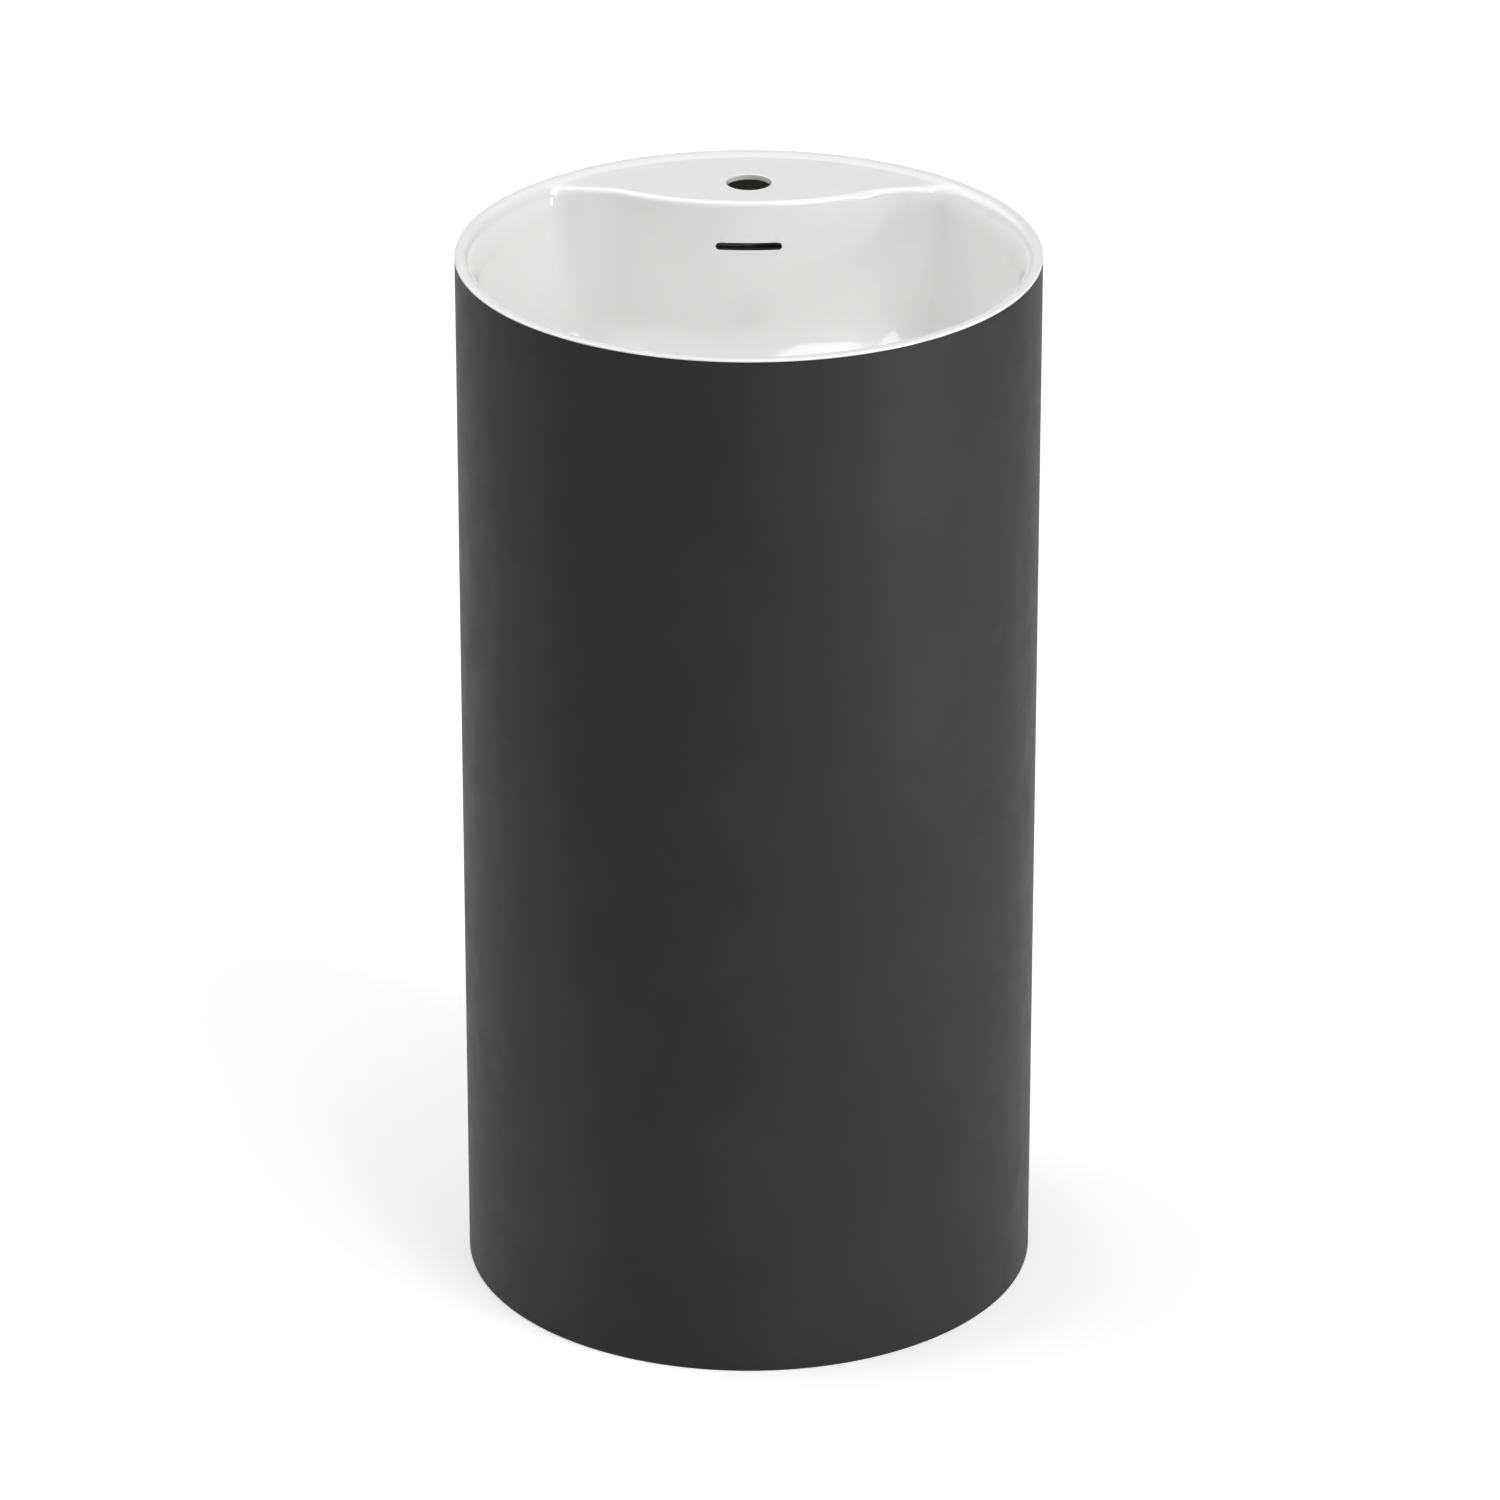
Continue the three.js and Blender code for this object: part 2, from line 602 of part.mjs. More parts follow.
function plugSpring() {
  const steps = SPRING_TURNS * 12;
  const bottom = HOUSING_FLOOR + GAP + SPRING_WIRE;
  const top = STEM_BOTTOM - GAP - SPRING_WIRE;
  const points = Array.from({ length: steps + 1 }, (_, i) => {
    const angle = (2 * Math.PI * SPRING_TURNS * i) / steps;
    const z = THREE.MathUtils.lerp(bottom, top, i / steps);
    return new THREE.Vector3(SPRING_RADIUS * Math.cos(angle), SPRING_RADIUS * Math.sin(angle), z);
  });
  const section = new THREE.Shape().absarc(0, 0, SPRING_WIRE, 0, 2 * Math.PI, false);
  return new THREE.ExtrudeGeometry(section, {
    steps,
    curveSegments: 3,
    bevelEnabled: false,
    extrudePath: new THREE.CatmullRomCurve3(points),
  });
}

function plugStem() {
  return disc(STEM_RADIUS, STEM_BOTTOM, STEM_TOP, SMALL_STEPS);
}

function plugCap() {
  return turned([
    [0, PLUG_OPEN_Z - PLUG_HUB],
    [HUB_RADIUS, PLUG_OPEN_Z - PLUG_HUB],
    [HUB_RADIUS, PLUG_OPEN_Z],
    [PLUG_RADIUS, PLUG_OPEN_Z],
    [PLUG_RADIUS, PLUG_OPEN_Z + PLUG_EDGE],
    [PLUG_RADIUS - PLUG_CHAMFER, PLUG_OPEN_Z + (PLUG_EDGE + PLUG_CROWN) / 2],
    [0, PLUG_OPEN_Z + PLUG_CROWN],
  ], HOLE_STEPS);
}

function plugSeal() {
  const top = PLUG_OPEN_Z - GAP;
  return tube(PLUG_SEAL_RADIUS, HUB_RADIUS + GAP, top - PLUG_SEAL_HEIGHT, top);
}

// ---------- trap, on the waste's axis ----------

function unionWasher() {
  return tube(COLLAR_RADIUS, PIPE_BORE + WASHER_INSET, INLET_TOP + GAP, WASTE_BOTTOM - GAP);
}

// Hangs the inlet tube's collar from the waste's thread.
function unionNut() {
  const bottom = INLET_TOP - 2 * TRAP_WALL;
  const top = bottom + UNION_NUT_HEIGHT;
  return join(
    tube(NUT_RADIUS, PIPE_RADIUS + GAP, bottom, INLET_TOP - TRAP_WALL - GAP),
    luggedRing(NUT_RADIUS, THREAD_RADIUS + GAP, bottom, top),
  );
}

function inletTube() {
  return turned([
    [PIPE_BORE, DIP_BOTTOM],
    [PIPE_RADIUS, DIP_BOTTOM],
    [PIPE_RADIUS, INLET_TOP - TRAP_WALL],
    [COLLAR_RADIUS, INLET_TOP - TRAP_WALL],
    [COLLAR_RADIUS, INLET_TOP],
    [PIPE_BORE, INLET_TOP],
  ]);
}

// A slip joint's nut and cone washer round a pipe. The joint's socket ends at z = 0.
function slipNut() {
  return join(
    tube(NUT_RADIUS, PIPE_RADIUS + GAP, CONE_HEIGHT, NUT_TOP),
    luggedRing(NUT_RADIUS, BOSS_RADIUS + GAP, -NUT_SKIRT, NUT_TOP - 1),
  );
}

function coneWasher() {
  const bore = PIPE_RADIUS + GAP;
  const top = CONE_HEIGHT - GAP;
  const outer = BOSS_RADIUS - SEAL_INSET;
  const tip = outer - CONE_TAPER;
  return turned([[bore, GAP], [outer, GAP], [outer, top / 2], [tip, top], [bore, top]]);
}

function trapHead() {
  const sideways = (geometry) => geometry.rotateX(-Math.PI / 2).translate(0, 0, OUTLET_Z);
  const socket = PIPE_RADIUS + GAP;
  const outer = join(
    disc(HEAD_RADIUS, HEAD_BOTTOM, HEAD_TOP),
    disc(CUP_RADIUS, COLLAR_Z, COLLAR_Z + COLLAR_HEIGHT),
    disc(BOSS_RADIUS, HEAD_TOP - 1, BOSS_TOP),
    sideways(disc(BOSS_RADIUS, 0, BOSS_END)),
  );
  return cut(
    outer,
    disc(HEAD_RADIUS - TRAP_WALL, HEAD_BOTTOM - BEYOND, HEAD_TOP - TRAP_WALL),
    disc(socket, HEAD_TOP - BEYOND, BOSS_TOP + BEYOND),
    sideways(disc(PIPE_BORE, 0, BOSS_END)),
    sideways(disc(socket, BOSS_END - SOCKET_DEPTH, BOSS_END + BEYOND)),
  );
}

function trapCup() {
  const chamfer = CUP_KNEE - CUP_FOOT;
  const floor = CUP_BOTTOM + CUP_WALL;
  const body = turned([
    [0, CUP_BOTTOM],
    [CUP_FOOT, CUP_BOTTOM],
    [CUP_FOOT + 0.7 * chamfer, CUP_BOTTOM + 0.3 * chamfer],
    [CUP_KNEE, CUP_BOTTOM + chamfer],
    [CUP_RADIUS, CUP_TOP - CUP_RIM_HEIGHT],
    [CUP_RADIUS, CUP_TOP],
    [HEAD_RADIUS + GAP, CUP_TOP],
    [HEAD_RADIUS + GAP, HEAD_BOTTOM - 1],
    [CUP_KNEE - TRAP_WALL, floor + chamfer],
    [CUP_FOOT, floor],
    [0, floor],
  ], PIPE_STEPS + 8);
  const ribs = Array.from({ length: CUP_RIBS }, (_, i) => {
    const middle = CUP_BOTTOM + CUP_RIB_BOTTOM + CUP_RIB_HEIGHT / 2;
    const rib = box(TRAP_WALL, TRAP_WALL, CUP_RIB_HEIGHT, CUP_RADIUS - 1, 0, middle);
    return rib.rotateZ((2 * Math.PI * i) / CUP_RIBS);
  });
  return join(body, ...ribs);
}

function cupSeal() {
  const bottom = CUP_TOP + GAP;
  return tube(CUP_RADIUS - SEAL_INSET, HEAD_RADIUS + GAP, bottom, bottom + CUP_SEAL_HEIGHT);
}

function outletPipe() {
  return tube(PIPE_RADIUS, PIPE_BORE, PIPE_START, OUTER_RADIUS).rotateX(-Math.PI / 2);
}

// ---------- floor fixings, drawn for the +X side ----------

function towardsX(geometry) {
  return geometry.rotateY(Math.PI / 2).translate(0, 0, SCREW_Z);
}

// Bonded inside the shell, with its outer face to the shell's curve.
function fixingBlock() {
  const height = BLOCK_TOP - BLOCK_BOTTOM;
  const x = BLOCK_FACE + BLOCK_DEPTH;
  const block = box(2 * BLOCK_DEPTH, BLOCK_WIDTH, height, x, 0, BLOCK_BOTTOM + height / 2);
  const beyondWall = tube(2 * OUTER_RADIUS, SHELL_INNER - GAP, 0, 2 * BLOCK_TOP, SHELL_STEPS);
  const holeEnd = BLOCK_FACE + INSERT_LENGTH + GAP;
  const hole = towardsX(disc(INSERT_RADIUS + GAP, BLOCK_FACE - BEYOND, holeEnd, SMALL_STEPS));
  return cut(block, beyondWall, hole);
}

function threadedInsert() {
  const end = BLOCK_FACE + INSERT_LENGTH;
  return towardsX(tube(INSERT_RADIUS, SCREW_RADIUS + GAP, BLOCK_FACE, end, SMALL_STEPS));
}

function floorBracket() {
  const legX = (LEG_INNER + LEG_OUTER) / 2;
  const footX = LEG_OUTER - BRACKET_FOOT / 2;
  const leg = box(BRACKET_THICKNESS, BRACKET_WIDTH, BRACKET_HEIGHT, legX, 0, BRACKET_HEIGHT / 2);
  const foot = box(BRACKET_FOOT, BRACKET_WIDTH, BRACKET_THICKNESS, footX, 0, BRACKET_THICKNESS / 2);
  const floorSlot = extruded(stadium(BRACKET_SLOT_LENGTH, FOOT_SLOT_WIDTH), 2 * BEYOND);
  const legSlot = extruded(stadium(BRACKET_SLOT_LENGTH, LEG_SLOT_WIDTH), 2 * BEYOND);
  return cut(
    join(leg, foot),
    floorSlot.translate(LEG_INNER - FOOT_SLOT_INSET, 0, -BEYOND),
    towardsX(legSlot.translate(0, 0, LEG_INNER - BEYOND)),
  );
}

function bracketWasher() {
  const face = LEG_INNER - GAP;
  const bore = SCREW_RADIUS + GAP;
  return towardsX(tube(WASHER_RADIUS, bore, face - WASHER_THICKNESS, face, SMALL_STEPS));
}

function bracketScrew() {
  const headBack = LEG_INNER - 2 * GAP - WASHER_THICKNESS;
  const headFront = headBack - SCREW_HEAD_HEIGHT;
  const tip = BLOCK_FACE + INSERT_LENGTH - SCREW_SHORT;
  const screw = turned([
    [0, headFront],
    [SCREW_HEAD - SCREW_HEAD_CHAMFER, headFront],
    [SCREW_HEAD, headFront + SCREW_HEAD_CHAMFER],
    [SCREW_HEAD, headBack],
    [SCREW_RADIUS, headBack],
    [SCREW_RADIUS, tip],
    [0, tip],
  ], SMALL_STEPS);
  return towardsX(cut(screw, disc(SOCKET_RADIUS, headFront - BEYOND, headBack - SOCKET_FLOOR, 6)));
}

// ---------- assembly ----------

const finish = (color, roughness, metalness = 0) =>
  new THREE.MeshStandardMaterial({ color, roughness, metalness });
const MATT_BLACK = finish(0x2f2f2f, 0.6);
const GLAZED_WHITE = finish(0xf2f2f2, 0.15);
const CAST_WHITE = finish(0xe6e4de, 0.5);
const CAST_GREY = finish(0x6f6f6c, 0.7);
const CHROME = finish(0xd8dadc, 0.12, 1);
const BRASS = finish(0xb5914a, 0.3, 0.9);
const STEEL = finish(0xb9bcc0, 0.4, 0.9);
const WHITE_PLASTIC = finish(0xe9e9e6, 0.4);
const BLACK_PLASTIC = finish(0x26282a, 0.5);
const RUBBER = finish(0x1b1b1c, 0.85);

// Each piece has a material of its own, in one of those finishes.
function piece(name, geometry, material) {
  const mesh = new THREE.Mesh(geometry, material.clone());
  mesh.name = name;
  return mesh;
}

function bodyGroup() {
  return new THREE.Group().add(
    piece("shell", shell(), MATT_BLACK),
    piece("basin", basin(), GLAZED_WHITE),
    piece("overflow_channel", overflowChannel(), CAST_WHITE),
  );
}

function wasteGroup() {
  const group = new THREE.Group().add(
    piece("waste_body", wasteBody(), CHROME),
    piece("waste_top_gasket", wasteTopGasket(), RUBBER),
    piece("waste_bottom_gasket", wasteBottomGasket(), RUBBER),
    piece("waste_locknut", wasteLocknut(), BRASS),
    piece("plug_housing", plugHousing(), BLACK_PLASTIC),
    piece("plug_spring", plugSpring(), STEEL),
    piece("plug_stem", plugStem(), BLACK_PLASTIC),
    piece("plug_cap", plugCap(), CHROME),
    piece("plug_seal", plugSeal(), RUBBER),
  );
  group.position.y = DRAIN_Y;
  return group;
}

function slipJoint(name) {
  return new THREE.Group().add(
    piece(`trap_${name}_nut`, slipNut(), WHITE_PLASTIC),
    piece(`trap_${name}_cone_washer`, coneWasher(), RUBBER),
  );
}

function trapGroup() {
  const inletJoint = slipJoint("inlet");
  inletJoint.position.z = BOSS_TOP;
  const outletJoint = slipJoint("outlet");
  outletJoint.position.set(0, BOSS_END, OUTLET_Z);
  outletJoint.rotation.x = -Math.PI / 2;
  const onAxis = new THREE.Group().add(
    piece("trap_union_nut", unionNut(), WHITE_PLASTIC),
    piece("trap_union_washer", unionWasher(), RUBBER),
    piece("trap_inlet_tube", inletTube(), WHITE_PLASTIC),
    piece("trap_head", trapHead(), WHITE_PLASTIC),
    piece("trap_cup", trapCup(), WHITE_PLASTIC),
    piece("trap_cup_seal", cupSeal(), RUBBER),
    inletJoint,
    outletJoint,
  );
  onAxis.position.y = DRAIN_Y;
  const pipe = piece("outlet_pipe", outletPipe(), WHITE_PLASTIC);
  pipe.position.z = OUTLET_Z;
  return new THREE.Group().add(onAxis, pipe);
}

function fixingGroup(side, turn) {
  const group = new THREE.Group().add(
    piece(`fixing_block_${side}`, fixingBlock(), CAST_GREY),
    piece(`threaded_insert_${side}`, threadedInsert(), BRASS),
    piece(`floor_bracket_${side}`, floorBracket(), STEEL),
    piece(`bracket_washer_${side}`, bracketWasher(), STEEL),
    piece(`bracket_screw_${side}`, bracketScrew(), STEEL),
  );
  group.rotation.z = turn;
  return group;
}

const sink = new THREE.Group();
sink.add(bodyGroup(), wasteGroup(), trapGroup());
sink.add(fixingGroup("right", 0), fixingGroup("left", Math.PI));

export default sink;
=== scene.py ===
import json
import math

import bmesh
import bpy
import numpy as np
from mathutils import Matrix, Vector


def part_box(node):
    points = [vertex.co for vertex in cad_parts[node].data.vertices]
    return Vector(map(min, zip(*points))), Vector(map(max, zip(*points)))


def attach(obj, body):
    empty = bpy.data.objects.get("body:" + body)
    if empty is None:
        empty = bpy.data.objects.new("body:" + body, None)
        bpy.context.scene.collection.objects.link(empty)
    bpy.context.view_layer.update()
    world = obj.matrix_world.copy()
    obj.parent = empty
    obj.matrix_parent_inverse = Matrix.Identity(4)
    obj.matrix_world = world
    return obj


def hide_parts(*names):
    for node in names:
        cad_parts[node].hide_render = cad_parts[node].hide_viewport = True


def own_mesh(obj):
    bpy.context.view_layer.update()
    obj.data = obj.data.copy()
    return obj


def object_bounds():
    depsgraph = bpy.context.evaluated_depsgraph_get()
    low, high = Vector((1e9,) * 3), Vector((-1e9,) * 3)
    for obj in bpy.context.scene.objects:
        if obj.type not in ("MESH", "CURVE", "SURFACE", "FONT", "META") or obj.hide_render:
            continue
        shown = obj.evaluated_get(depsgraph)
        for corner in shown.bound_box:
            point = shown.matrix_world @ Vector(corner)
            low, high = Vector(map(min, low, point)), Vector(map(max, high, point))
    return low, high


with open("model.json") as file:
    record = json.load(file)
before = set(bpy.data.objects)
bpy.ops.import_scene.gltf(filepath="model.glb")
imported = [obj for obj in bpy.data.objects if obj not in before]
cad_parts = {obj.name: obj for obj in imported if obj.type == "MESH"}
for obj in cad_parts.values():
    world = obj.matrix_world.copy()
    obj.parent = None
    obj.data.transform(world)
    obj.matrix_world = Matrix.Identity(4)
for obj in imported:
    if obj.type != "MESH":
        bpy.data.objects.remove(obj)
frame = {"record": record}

CAD_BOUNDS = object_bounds()
MM = 0.001


def cad_box(node):
    """A CAD node's lowest and highest corners at rest, in millimetres."""
    return [np.array(corner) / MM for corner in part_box(node)]


# ---------- sizes ----------

OUTER_RADIUS = CAD_BOUNDS[1].x / MM
HEIGHT = CAD_BOUNDS[1].z / MM
GAP = 0.3  # between pieces that touch
BEYOND = 10  # how far a cutting tool reaches past what it cuts
SOFT_EDGE = 0.4  # rounding of moulded and machined edges
TURN_STEPS = 96  # round a lathed piece
ON_AXIS = 1e-6  # a point nearer to the axis than this is on it
NEARLY_STRAIGHT = 80  # half a corner's angle in degrees, above which it isn't rounded
CORNER_REACH = 0.45  # the share of a side that rounding its corner may take up

# Shell
SHELL_WALL = 8
SHELL_TOP = cad_box("shell")[1][2]
SHELL_INNER = OUTER_RADIUS - SHELL_WALL
SHELL_EDGE = 1.2
SHELL_SHARP = 40  # degrees, above which the shell's edges are bevelled
OPENING_WIDTH = 200
OPENING_HEIGHT = 610
OPENING_CORNER = 50

# Basin
BASIN_WALL = 6
LIP_HEIGHT = 1.5
DECK_THICKNESS = 5
DECK_DROP = 2
BOWL_RADIUS = 208
BOWL_CORNER = 60
DECK_FRONT_Y = 110.5
DECK_BULGE = 200
DECK_FILLET = 5
DECK_REAR_RADIUS = 210.5
DECK_BLEND = 14
CREST_OUTER = 223
CREST_INNER = 219
MITRE_RUN = 1
SEAT_STEP = 2
SEAT_LEDGE = 4
RIM_ROUND_HEIGHT = 28
WALL_DRAFT = 3
FLOOR_FILLET = 42
BOWL_DEPTH = 142
FLOOR_FALL = 5
DRAIN_HOLE = 23
RECESS_RADIUS = 36
RECESS_DEPTH = 4
RECESS_BOSS = 1
TAP_HOLE_RADIUS = 17.5
TAP_HOLE_Y = 157
SLOT_WIDTH = 50
SLOT_HEIGHT = 4
SLOT_Z = 812
HOLE_EDGE = 1  # rounding of the tap hole's, the slot's and the drain recess's edges
MOUTH_POWER = 1.5  # of the curve along which the slot's mouth flares

DRAIN_Y = sum(corner[1] for corner in cad_box("plug_cap")) / 2
ARRIS_Z = HEIGHT - LIP_HEIGHT
MITRE_FOOT_Z = ARRIS_Z - SHELL_WALL
DECK_Z = HEIGHT - DECK_DROP
DECK_UNDER_Z = DECK_Z - DECK_THICKNESS
BASIN_OUTER = BOWL_RADIUS + BASIN_WALL
FLOOR_EDGE_Z = HEIGHT - BOWL_DEPTH
WALL_FOOT_Z = FLOOR_EDGE_Z + FLOOR_FILLET
FLOOR_INSET = WALL_DRAFT + FLOOR_FILLET
FLOOR_DRAIN_Z = FLOOR_EDGE_Z - FLOOR_FALL
RECESS_Z = FLOOR_DRAIN_Z - RECESS_DEPTH
FLOOR_UNDER_Z = RECESS_Z - BASIN_WALL - RECESS_BOSS

# Steps round the bowl: over a rear corner, over the bulge between them, and round the front
CORNER_STEPS = 36
BULGE_STEPS = 84
FRONT_STEPS = 200

# Columns and rows of the shell's faces
SHELL_FRONT_STEPS = 220
OPENING_CORNER_STEPS = 12
OPENING_TOP_STEPS = 18
JAMB_ROWS = 8
LINTEL_ROWS = 6

# Overflow channel
CHANNEL_CAVITY = 10
CHANNEL_WALL = 3
CHANNEL_WIDTH = 56
CHANNEL_TOP = cad_box("overflow_channel")[1][2] - CHANNEL_WALL
CHAMBER_RADIUS = 30
CHANNEL_EDGE = 2.5

# Waste and plug
THREAD_RADIUS = 21
THREAD_PITCH = 2.3
THREAD_DEPTH = 1.1
THREAD_TOP = 672
THREAD_LEAD = 1  # plain wall at a thread's ends
THREAD_FORM = ((0, 0), (0.2, 0), (0.5, 1), (0.7, 1))  # (share of the pitch, share of the depth)
WASTE_BORE = 19
FLANGE_EDGE = 2
FLANGE_CHAMFER = 3
SEAT_RADIUS = 24
NECK_RADIUS = 23.4
WINDOWS = 4
WINDOW_WIDTH = 12
WINDOW_CORNER = 1.2
BAR_TOP = 660
BAR_HEIGHT = 6
BAR_WIDTH = 5
BAR_ROOT = 0.5  # how far the bar reaches into the waste's wall
HUB_RADIUS = 7
WASHER_INSET = 1
GASKET_CHAMFER = 3
GASKET_EDGE = 0.7
LOCKNUT_RADIUS = 26
LOCKNUT_FLANGE_HEIGHT = 3
PLUG_HUB = 5
PLUG_EDGE = 1.4
STEM_RADIUS = 5.2
STEM_PLAY = 0.4
STEM_GROOVE = 0.7
STEM_GROOVE_Z = 16
HOUSING_PIN = 3
HOUSING_FLOOR = 666
SPRING_WIRE = 0.5
SPRING_RADIUS = 4.2
SPRING_TURNS = 3
SPRING_STEPS = 36  # round one turn
SPRING_EVENNESS = 0.35  # below 1 its end turns lie flatter than its middle ones

# Bottle trap and outlet
PIPE_RADIUS = 16
PIPE_BORE = 14
PIPE_EDGE = 0.6
TUBE_EDGE = 0.5
TRAP_WALL = 3
TRAP_EDGE = 0.8
BOSS_RADIUS = 22
BOSS_END = 52  # end of the side outlet, from the trap's axis
BOSS_TOP = cad_box("trap_head")[1][2]
SOCKET_DEPTH = 20
HEAD_RADIUS = 28
HEAD_TOP = 580
HEAD_SHOULDER = 5
COLLAR_HEIGHT = 4
CUP_RADIUS = 32
CUP_FOOT = 20
CUP_KNEE = 30
CUP_WALL = 4
CUP_RIM_HEIGHT = 18
CUP_RIBS = 8
CUP_RIB_HEIGHT = 40
CUP_RIB_BOTTOM = 16
CUP_RIB_SINK = 1  # how far a rib's middle lies inside the cup's outer wall
CUP_PITCH = 3.2
RIB_EDGE = 1
SEAL_INSET = 0.5
NUT_RADIUS = 25
NUT_LUG = 1.5
NUT_LUGS = 8
NUT_STEPS = 24 * NUT_LUGS
LUG_MIDDLE = 1 / 8  # of the way from one lug's place to the next
LUG_SHARE = 1 / 2  # of the way round is lugs
LUG_FLANK = 0.05
LUG_CHAMFER = 1.2
NUT_SKIRT = 12
NUT_TOP = 8
NUT_BRIM = 1  # plain wall above a slip nut's lugs
CONE_HEIGHT = 5
CONE_TAPER = 3
CONE_EDGE = 0.3
OUTLET_Z = sum(corner[2] for corner in cad_box("outlet_pipe")) / 2

# Floor fixings, drawn for the +X side
BRACKET_THICKNESS = 3
BRACKET_BEND = 2  # inner radius
BRACKET_CORNER = 5
PLATE_EDGE = 0.25
FOOT_SLOT_INSET = 24
FOOT_SLOT_WIDTH = 9
LEG_SLOT_WIDTH = 7
BRACKET_SLOT_LENGTH = 20
BLOCK_EDGE = 1.5
SCREW_Z = 58
SCREW_RADIUS = 3
SCREW_HEAD = 6
SCREW_HEAD_HEIGHT = 4
SCREW_HEAD_FLAT = 1  # round its socket and up its side
SCREW_EDGE = 0.2
SCREW_PITCH = 1
SCREW_THREAD = 0.45  # its depth
SOCKET_RADIUS = 2.5
SOCKET_FLOOR = 2
INSERT_RADIUS = 4.5
INSERT_LENGTH = 12
KNURLS = 20
KNURL_STEPS = 8  # round one knurl
KNURL_DEPTH = 0.35


# ---------- mesh making ----------

BODY_OF = {
    node: body
    for body, nodes in frame["record"]["behaviour"]["bodies"].items()
    for node in nodes
}


def span(node, axis=2):
    """A turned node's lowest and highest place along its axis, and its radius."""
    low, high = cad_box(node)
    across = 0 if axis else 1
    return low[axis], high[axis], (high[across] - low[across]) / 2


def make_object(grids, caps=(), materials=(), kinds=None):
    """A closed mesh from grids of points whose edges meet, and flat caps. kinds gives the number
    of each grid's material."""
    points, faces, numbers = [], [], []
    for grid, kind in zip(grids, kinds or [0] * len(grids)):
        rows, columns = grid.shape[:2]
        corners = np.arange(rows * columns).reshape(rows, columns) + len(points)
        around_face = (corners[:-1, :-1], corners[:-1, 1:], corners[1:, 1:], corners[1:, :-1])
        quads = np.stack(around_face, axis=-1).reshape(-1, 4)
        faces.extend(quads.tolist())
        numbers.extend([kind] * len(quads))
        points.extend(grid.reshape(-1, 3))
    for cap in caps:
        faces.append(range(len(points), len(points) + len(cap)))
        numbers.append(0)
        points.extend(cap)
    mesh = bpy.data.meshes.new("piece")
    mesh.from_pydata((np.asarray(points, float) * MM).tolist(), [], faces)
    for material in materials:
        mesh.materials.append(material)
    mesh.polygons.foreach_set("material_index", numbers)
    obj = bpy.data.objects.new("piece", mesh)
    bpy.context.scene.collection.objects.link(obj)
    clean(obj)
    return obj


def clean(obj):
    """Welds the mesh and turns its faces outwards."""
    bm = bmesh.new()
    bm.from_mesh(obj.data)
    bmesh.ops.remove_doubles(bm, verts=bm.verts, dist=1e-6)
    bmesh.ops.dissolve_degenerate(bm, edges=bm.edges, dist=1e-7)
    bmesh.ops.recalc_face_normals(bm, faces=bm.faces)
    bm.to_mesh(obj.data)
    bm.free()


def apply_modifiers(obj):
    graph = bpy.context.evaluated_depsgraph_get()
    mesh = bpy.data.meshes.new_from_object(obj.evaluated_get(graph))
    obj.modifiers.clear()
    obj.data = mesh


def combine(obj, operation, others):
    for other in others:
        step = obj.modifiers.new("combine", "BOOLEAN")
        step.operation = operation
        step.solver = "EXACT"
        step.material_mode = "TRANSFER"
        step.object = other
    apply_modifiers(obj)
    for other in others:
        bpy.data.objects.remove(other)
    return obj


def cut(obj, *tools):
    return combine(obj, "DIFFERENCE", tools)


def join(obj, *others):
    return combine(obj, "UNION", others)


def shift(obj, x=0, y=0, z=0):
    obj.data.transform(Matrix.Translation(Vector((x, y, z)) * MM))
    return obj


def turn(obj, degrees, axis="Z"):
    obj.data.transform(Matrix.Rotation(math.radians(degrees), 4, axis))
    return obj


def bevelled(obj, width=SOFT_EDGE, segments=3, angle=30):
    bevel = obj.modifiers.new("bevel", "BEVEL")
    bevel.width = width * MM
    bevel.segments = segments
    bevel.limit_method = "ANGLE"
    bevel.angle_limit = math.radians(angle)
    apply_modifiers(obj)
    return obj


def bevel_edges(obj, chosen, width, segments=3):
    """Bevels the edges for which chosen(edge) holds."""
    bm = bmesh.new()
    bm.from_mesh(obj.data)
    edges = [edge for edge in bm.edges if chosen(edge)]
    bmesh.ops.bevel(
        bm, geom=edges, offset=width * MM, segments=segments, profile=0.5, affect="EDGES",
        clamp_overlap=True, material=-1,
    )
    bm.to_mesh(obj.data)
    bm.free()
    return obj


def finish(obj, node, material=None, sharp=32):
    """Shades the piece and lets it stand for its CAD node."""
    obj.name = "fine_" + node
    obj.data.shade_smooth()
    obj.data.set_sharp_from_angle(angle=math.radians(sharp))
    normals = obj.modifiers.new("normals", "WEIGHTED_NORMAL")
    normals.keep_sharp = True
    if material is not None:
        obj.data.materials.clear()
        obj.data.materials.append(material)
    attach(obj, BODY_OF[node])
    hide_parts(node)
    return obj


# ---------- shapes ----------

def smoothstep(value):
    t = np.clip(value, 0, 1)
    return t * t * (3 - 2 * t)


def quarters(count, first=0):
    """Equal steps of a quarter turn, from first to last of count."""
    return [k / count * math.pi / 2 for k in range(first, count + 1)]


def wrapped(loops):
    """Loops of points as a grid, where each row ends at its first point."""
    return np.array([[*loop, loop[0]] for loop in loops])


def lofted(loops, closed=True):
    """A surface through loops of points. Its ends are joined to each other, or capped."""
    if closed:
        return make_object([wrapped([*loops, loops[0]])])
    return make_object([wrapped(loops)], caps=(loops[0], loops[-1]))


def around(steps):
    return np.arange(steps) * 2 * math.pi / steps


def circle(radius, z, steps=TURN_STEPS):
    """A level loop round the Z axis. radius may differ at each of its points."""
    angles = around(steps)
    radius = np.broadcast_to(radius, steps)
    return np.column_stack([radius * np.cos(angles), radius * np.sin(angles), np.full(steps, z)])


